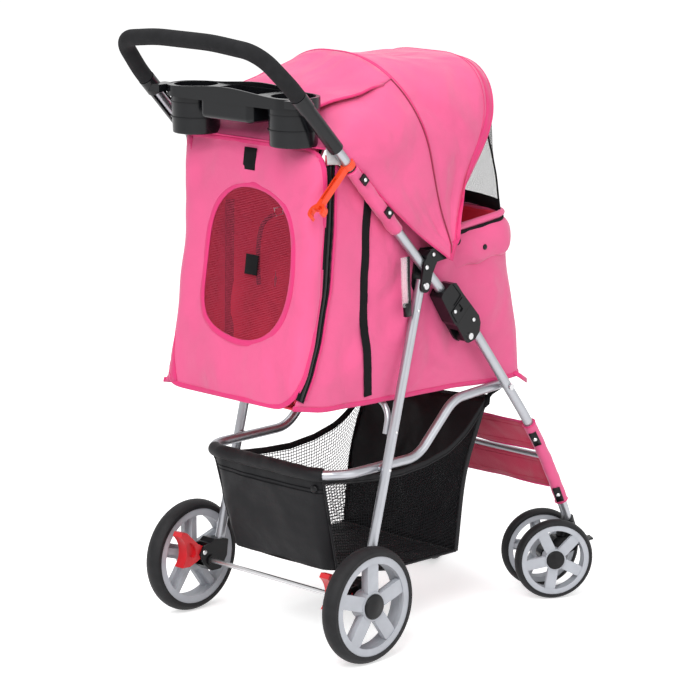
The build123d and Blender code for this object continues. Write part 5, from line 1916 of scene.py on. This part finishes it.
@dataclass
class Fittings:
    """Rivet heads, hub caps and the clear sleeves behind the brackets."""

    rear_cap_y: float = 221.7
    castor_cap_reach: float = 49.2
    castor_yaw: float = 31.0
    swivel_x: float = 522.0
    trail: float = 32.0
    leg_y: float = 171.0
    hanger_y: float = 176.0
    bracket_y: float = 184.0
    housing_y: float = 184.6
    lock_y: float = 186.0
    rear_leg_y: float = 178.8
    bracket_at: tuple[Triple, ...] = ((173, 634, 3.6), (157, 615, 4.0), (153, 586, 4.2))
    housing_at: Triple = (269.0, 514.0, 3.6)
    lock_at: Triple = (222.9, 534.1, 3.4)
    leg_at: tuple[Triple, ...] = ((144, 546, 2.8), (94, 355, 2.8), (79, 295, 2.8))
    pin_head: tuple[Pair, ...] = ((0.4, 1.6), (2.6, 1.4), (4.4, 0.5), (4.6, -2.0))

    def rivets(self, y: float, sign: int, *places: Triple) -> list[Piece]:
        """Domed rivet heads that face out.

        Args:
            y: Their distance from the middle.
            sign: -1 for the right side, 1 for the left.
            places: x, z and radius of each.

        Returns:
            The rivet heads.
        """
        made = []
        for x, z, r in places:
            profile = rows((0.2, r * 0.55), (r * 0.5, r * 0.48), (r * 0.9, r * 0.2), (r, -0.5))
            made.append(tinted(lathe("rivet", (x, sign * y, z), (0, sign, 0), profile, 20), Look.STEEL))
        return made

    def cap(self, centre: Sequence[float], axis: Sequence[float], r: float) -> Piece:
        """Domed black hub cap with a raised ring.

        Args:
            centre: Station on its axis.
            axis: Direction that it faces.
            r: Its radius.

        Returns:
            The cap.
        """
        profile = rows((0.3, 2.6), (r * 0.42, 2.5), (r * 0.5, 1.9), (r * 0.86, 1.7), (r * 0.97, 0.9), (r + 0.3, -0.4),
                       (r + 0.3, -3.2))
        return tinted(lathe("cap", centre, axis, profile, 40), Look.PLASTIC)

    def wheels(self, name: str, sign: int) -> None:
        """Hub caps on the rear wheel and on both castor wheels of one side.

        Args:
            name: The side's name.
            sign: -1 for the right side, 1 for the left.
        """
        rear = self.cap((0, sign * self.rear_cap_y, 95), (0, sign, 0), 20.4)
        dress(joined(f"rear_hub_cap_{name}", [rear]), f"rear_wheel_{name}", Look.PLASTIC)
        c, s = math.cos(math.radians(self.castor_yaw)), math.sin(math.radians(self.castor_yaw))
        axle = np.array([self.swivel_x - self.trail * c, sign * (self.leg_y - self.trail * s), 69])
        for side, way in (("outer", 1), ("inner", -1)):
            out = np.array([-s, sign * c, 0]) * way
            cap = joined(f"castor_cap_{side}_{name}", [self.cap(axle + out * self.castor_cap_reach, out, 15.7)])
            dress(cap, f"castor_wheel_{side}_{name}", Look.PLASTIC)

    def build(self) -> None:
        """Make all small fittings."""
        for name, sign in SIDES:
            upper = self.rivets(self.bracket_y, sign, *self.bracket_at)
            upper += self.rivets(self.housing_y, sign, self.housing_at)
            for whole, made, body in (
                ("bracket_rivets", upper, "upper_frame"),
                ("lock_rivet", self.rivets(self.lock_y, sign, self.lock_at), f"lock_sleeve_{name}"),
                ("rear_leg_rivets", self.rivets(self.rear_leg_y, sign, *self.leg_at), "rear_frame"),
            ):
                dress(joined(f"{whole}_{name}", made), body, Look.STEEL)
            self.wheels(name, sign)
            pin = lathe("pin", (-14, sign * 156.5, 111), (0, -sign, 0), self.pin_head, 18)
            pin = joined(f"brake_pin_head_{name}", [tinted(pin, Look.STEEL)])
            dress(pin, f"brake_lever_{name}", Look.STEEL)
            self.hanger(name, sign)

    def hanger(self, name: str, sign: int) -> None:
        """Clear sleeve with its black strip and foot, hung behind the bracket.

        Args:
            name: The side's name.
            sign: -1 for the right side, 1 for the left.
        """
        y, made = self.hanger_y, []
        for ahead, path, profile, look in (
            (0.0, ((112, y, 636), (113, y, 600), (116, y, 556)), box_profile(12.0, 5.0), Look.FILM),
            (9.5, ((112, y, 636), (113, y, 600), (116, y, 556)), box_profile(6.5, 3.0), Look.PLASTIC),
            (0.0, ((119, y, 561), (120, y, 552), (121, y, 540)), box_profile(13.0, 9.0), Look.PLASTIC),
        ):
            line = rows(*path) * (1, sign, 1) + (ahead, 0, 0)
            made.append(tinted(sweep("hanger", line, profile, (0, sign, 0)), look))
        dress(joined(f"hanger_sleeve_{name}", made), "rear_frame", Look.FILM)


# ---------------------------------------- studio


def aimed(name: str, data: bpy.types.ID, at: Triple, target: Triple) -> Piece:
    """Place a lamp or camera and point it at a target.

    Args:
        name: The object's name.
        data: The lamp or camera.
        at: Where it stands.
        target: What it looks at.

    Returns:
        The new object.
    """
    holder = linked(name, data)
    place, aim = (Vector(point) for point in to_frame(rows(at, target)))
    holder.location = place
    holder.rotation_euler = (aim - place).to_track_quat("-Z", "Y").to_euler()
    return holder


@dataclass
class Studio:
    """Pale floor, soft light and the camera."""

    camera_at: Triple = (-3271.7, -3361.1, 1495.4)
    look_at: Triple = (195.2, 48.8, 457.3)
    lit_at: Triple = (180, 0, 500)
    focal: float = 2989.6
    pixels: float = 679.0
    sensor: float = 36.0
    floor_half: float = 12000.0
    surround: float = 0.56
    lamps: tuple[tuple[str, Triple, float, float], ...] = (
        ("key", (-2600, -1500, 3000), 104.0, 2.2), ("fill", (600, -3600, 1700), 27.0, 2.6),
        ("top", (300, 300, 3600), 40.0, 2.4),
    )

    def build(self) -> None:
        """Set the whole studio up."""
        self.floor()
        self.light()
        self.camera()

    def seen(self, tree: bpy.types.NodeTree) -> Socket:
        """1 for rays that the camera sees straight, mirrored or through a clear piece, and 0 for the rest.

        Args:
            tree: The nodes of a material or of the world.

        Returns:
            The socket that says so.
        """
        path = tree.nodes.new("ShaderNodeLightPath")
        rays = path.outputs["Is Camera Ray"]
        for kind in ("Is Glossy Ray", "Is Transmission Ray"):
            either = tree.nodes.new("ShaderNodeMath")
            either.operation = "MAXIMUM"
            tree.links.new(rays, either.inputs[0])
            tree.links.new(path.outputs[kind], either.inputs[1])
            rays = either.outputs["Value"]
        return rays

    def floor(self) -> None:
        """Seamless pale floor."""
        corners = rows((-1, -1, 0), (1, -1, 0), (1, 1, 0), (-1, 1, 0)) * self.floor_half
        s = Shader("pale_floor", (0.95, 0.95, 0.95), 0.9, Emission_Color=(1, 1, 1, 1))
        s.join(s.combined("MULTIPLY", self.seen(s.tree), 0.5), "Emission Strength")
        piece = new_object("studio_floor", corners, [(0, 1, 2, 3)])
        piece.data.materials.append(s.material)

    def light(self) -> None:
        """White surround, one large soft lamp from the left and above, and two weaker ones."""
        world = bpy.data.worlds.new("studio")
        bpy.context.scene.world = world
        world.use_nodes = True
        tree = world.node_tree
        background = tree.nodes["Background"]
        background.inputs["Color"].default_value = (1, 1, 1, 1)
        power = tree.nodes.new("ShaderNodeMapRange")
        power.inputs["To Min"].default_value = self.surround
        tree.links.new(self.seen(tree), power.inputs["Value"])
        tree.links.new(power.outputs["Result"], background.inputs["Strength"])
        for name, at, energy, size in self.lamps:
            lamp = bpy.data.lights.new(name, "AREA")
            lamp.energy, lamp.size = energy, size
            aimed(name, lamp, at, self.lit_at)

    def camera(self) -> None:
        """Camera at the place where it shows the stroller from the rear right."""
        lens = bpy.data.cameras.new("camera")
        lens.sensor_width = self.sensor
        lens.lens = self.focal / self.pixels * self.sensor
        lens.clip_end = 100.0
        bpy.context.scene.camera = aimed("camera", lens, self.camera_at, self.look_at)


def main() -> None:
    """Build and dress every sub-assembly."""
    logging.basicConfig(level=logging.INFO, format="%(name)s: %(message)s")
    bpy.context.scene.view_settings.view_transform = "Standard"
    cabin = Cabin()
    stages: tuple[tuple[str, Callable[[], None]], ...] = (
        ("studio", Studio().build), ("kept nodes", KeptNodes().dress), ("cabin", cabin.build),
        ("rear door", RearDoor(cabin).build), ("canopy", Canopy().build), ("basket", Basket().build),
        ("foot panel", FootPanel().build), ("tube sleeves", TubeSleeves().build), ("fittings", Fittings().build),
    )
    for name, build in stages:
        build()
        LOG.info("%s made", name)


if __name__ == "__main__":
    main()
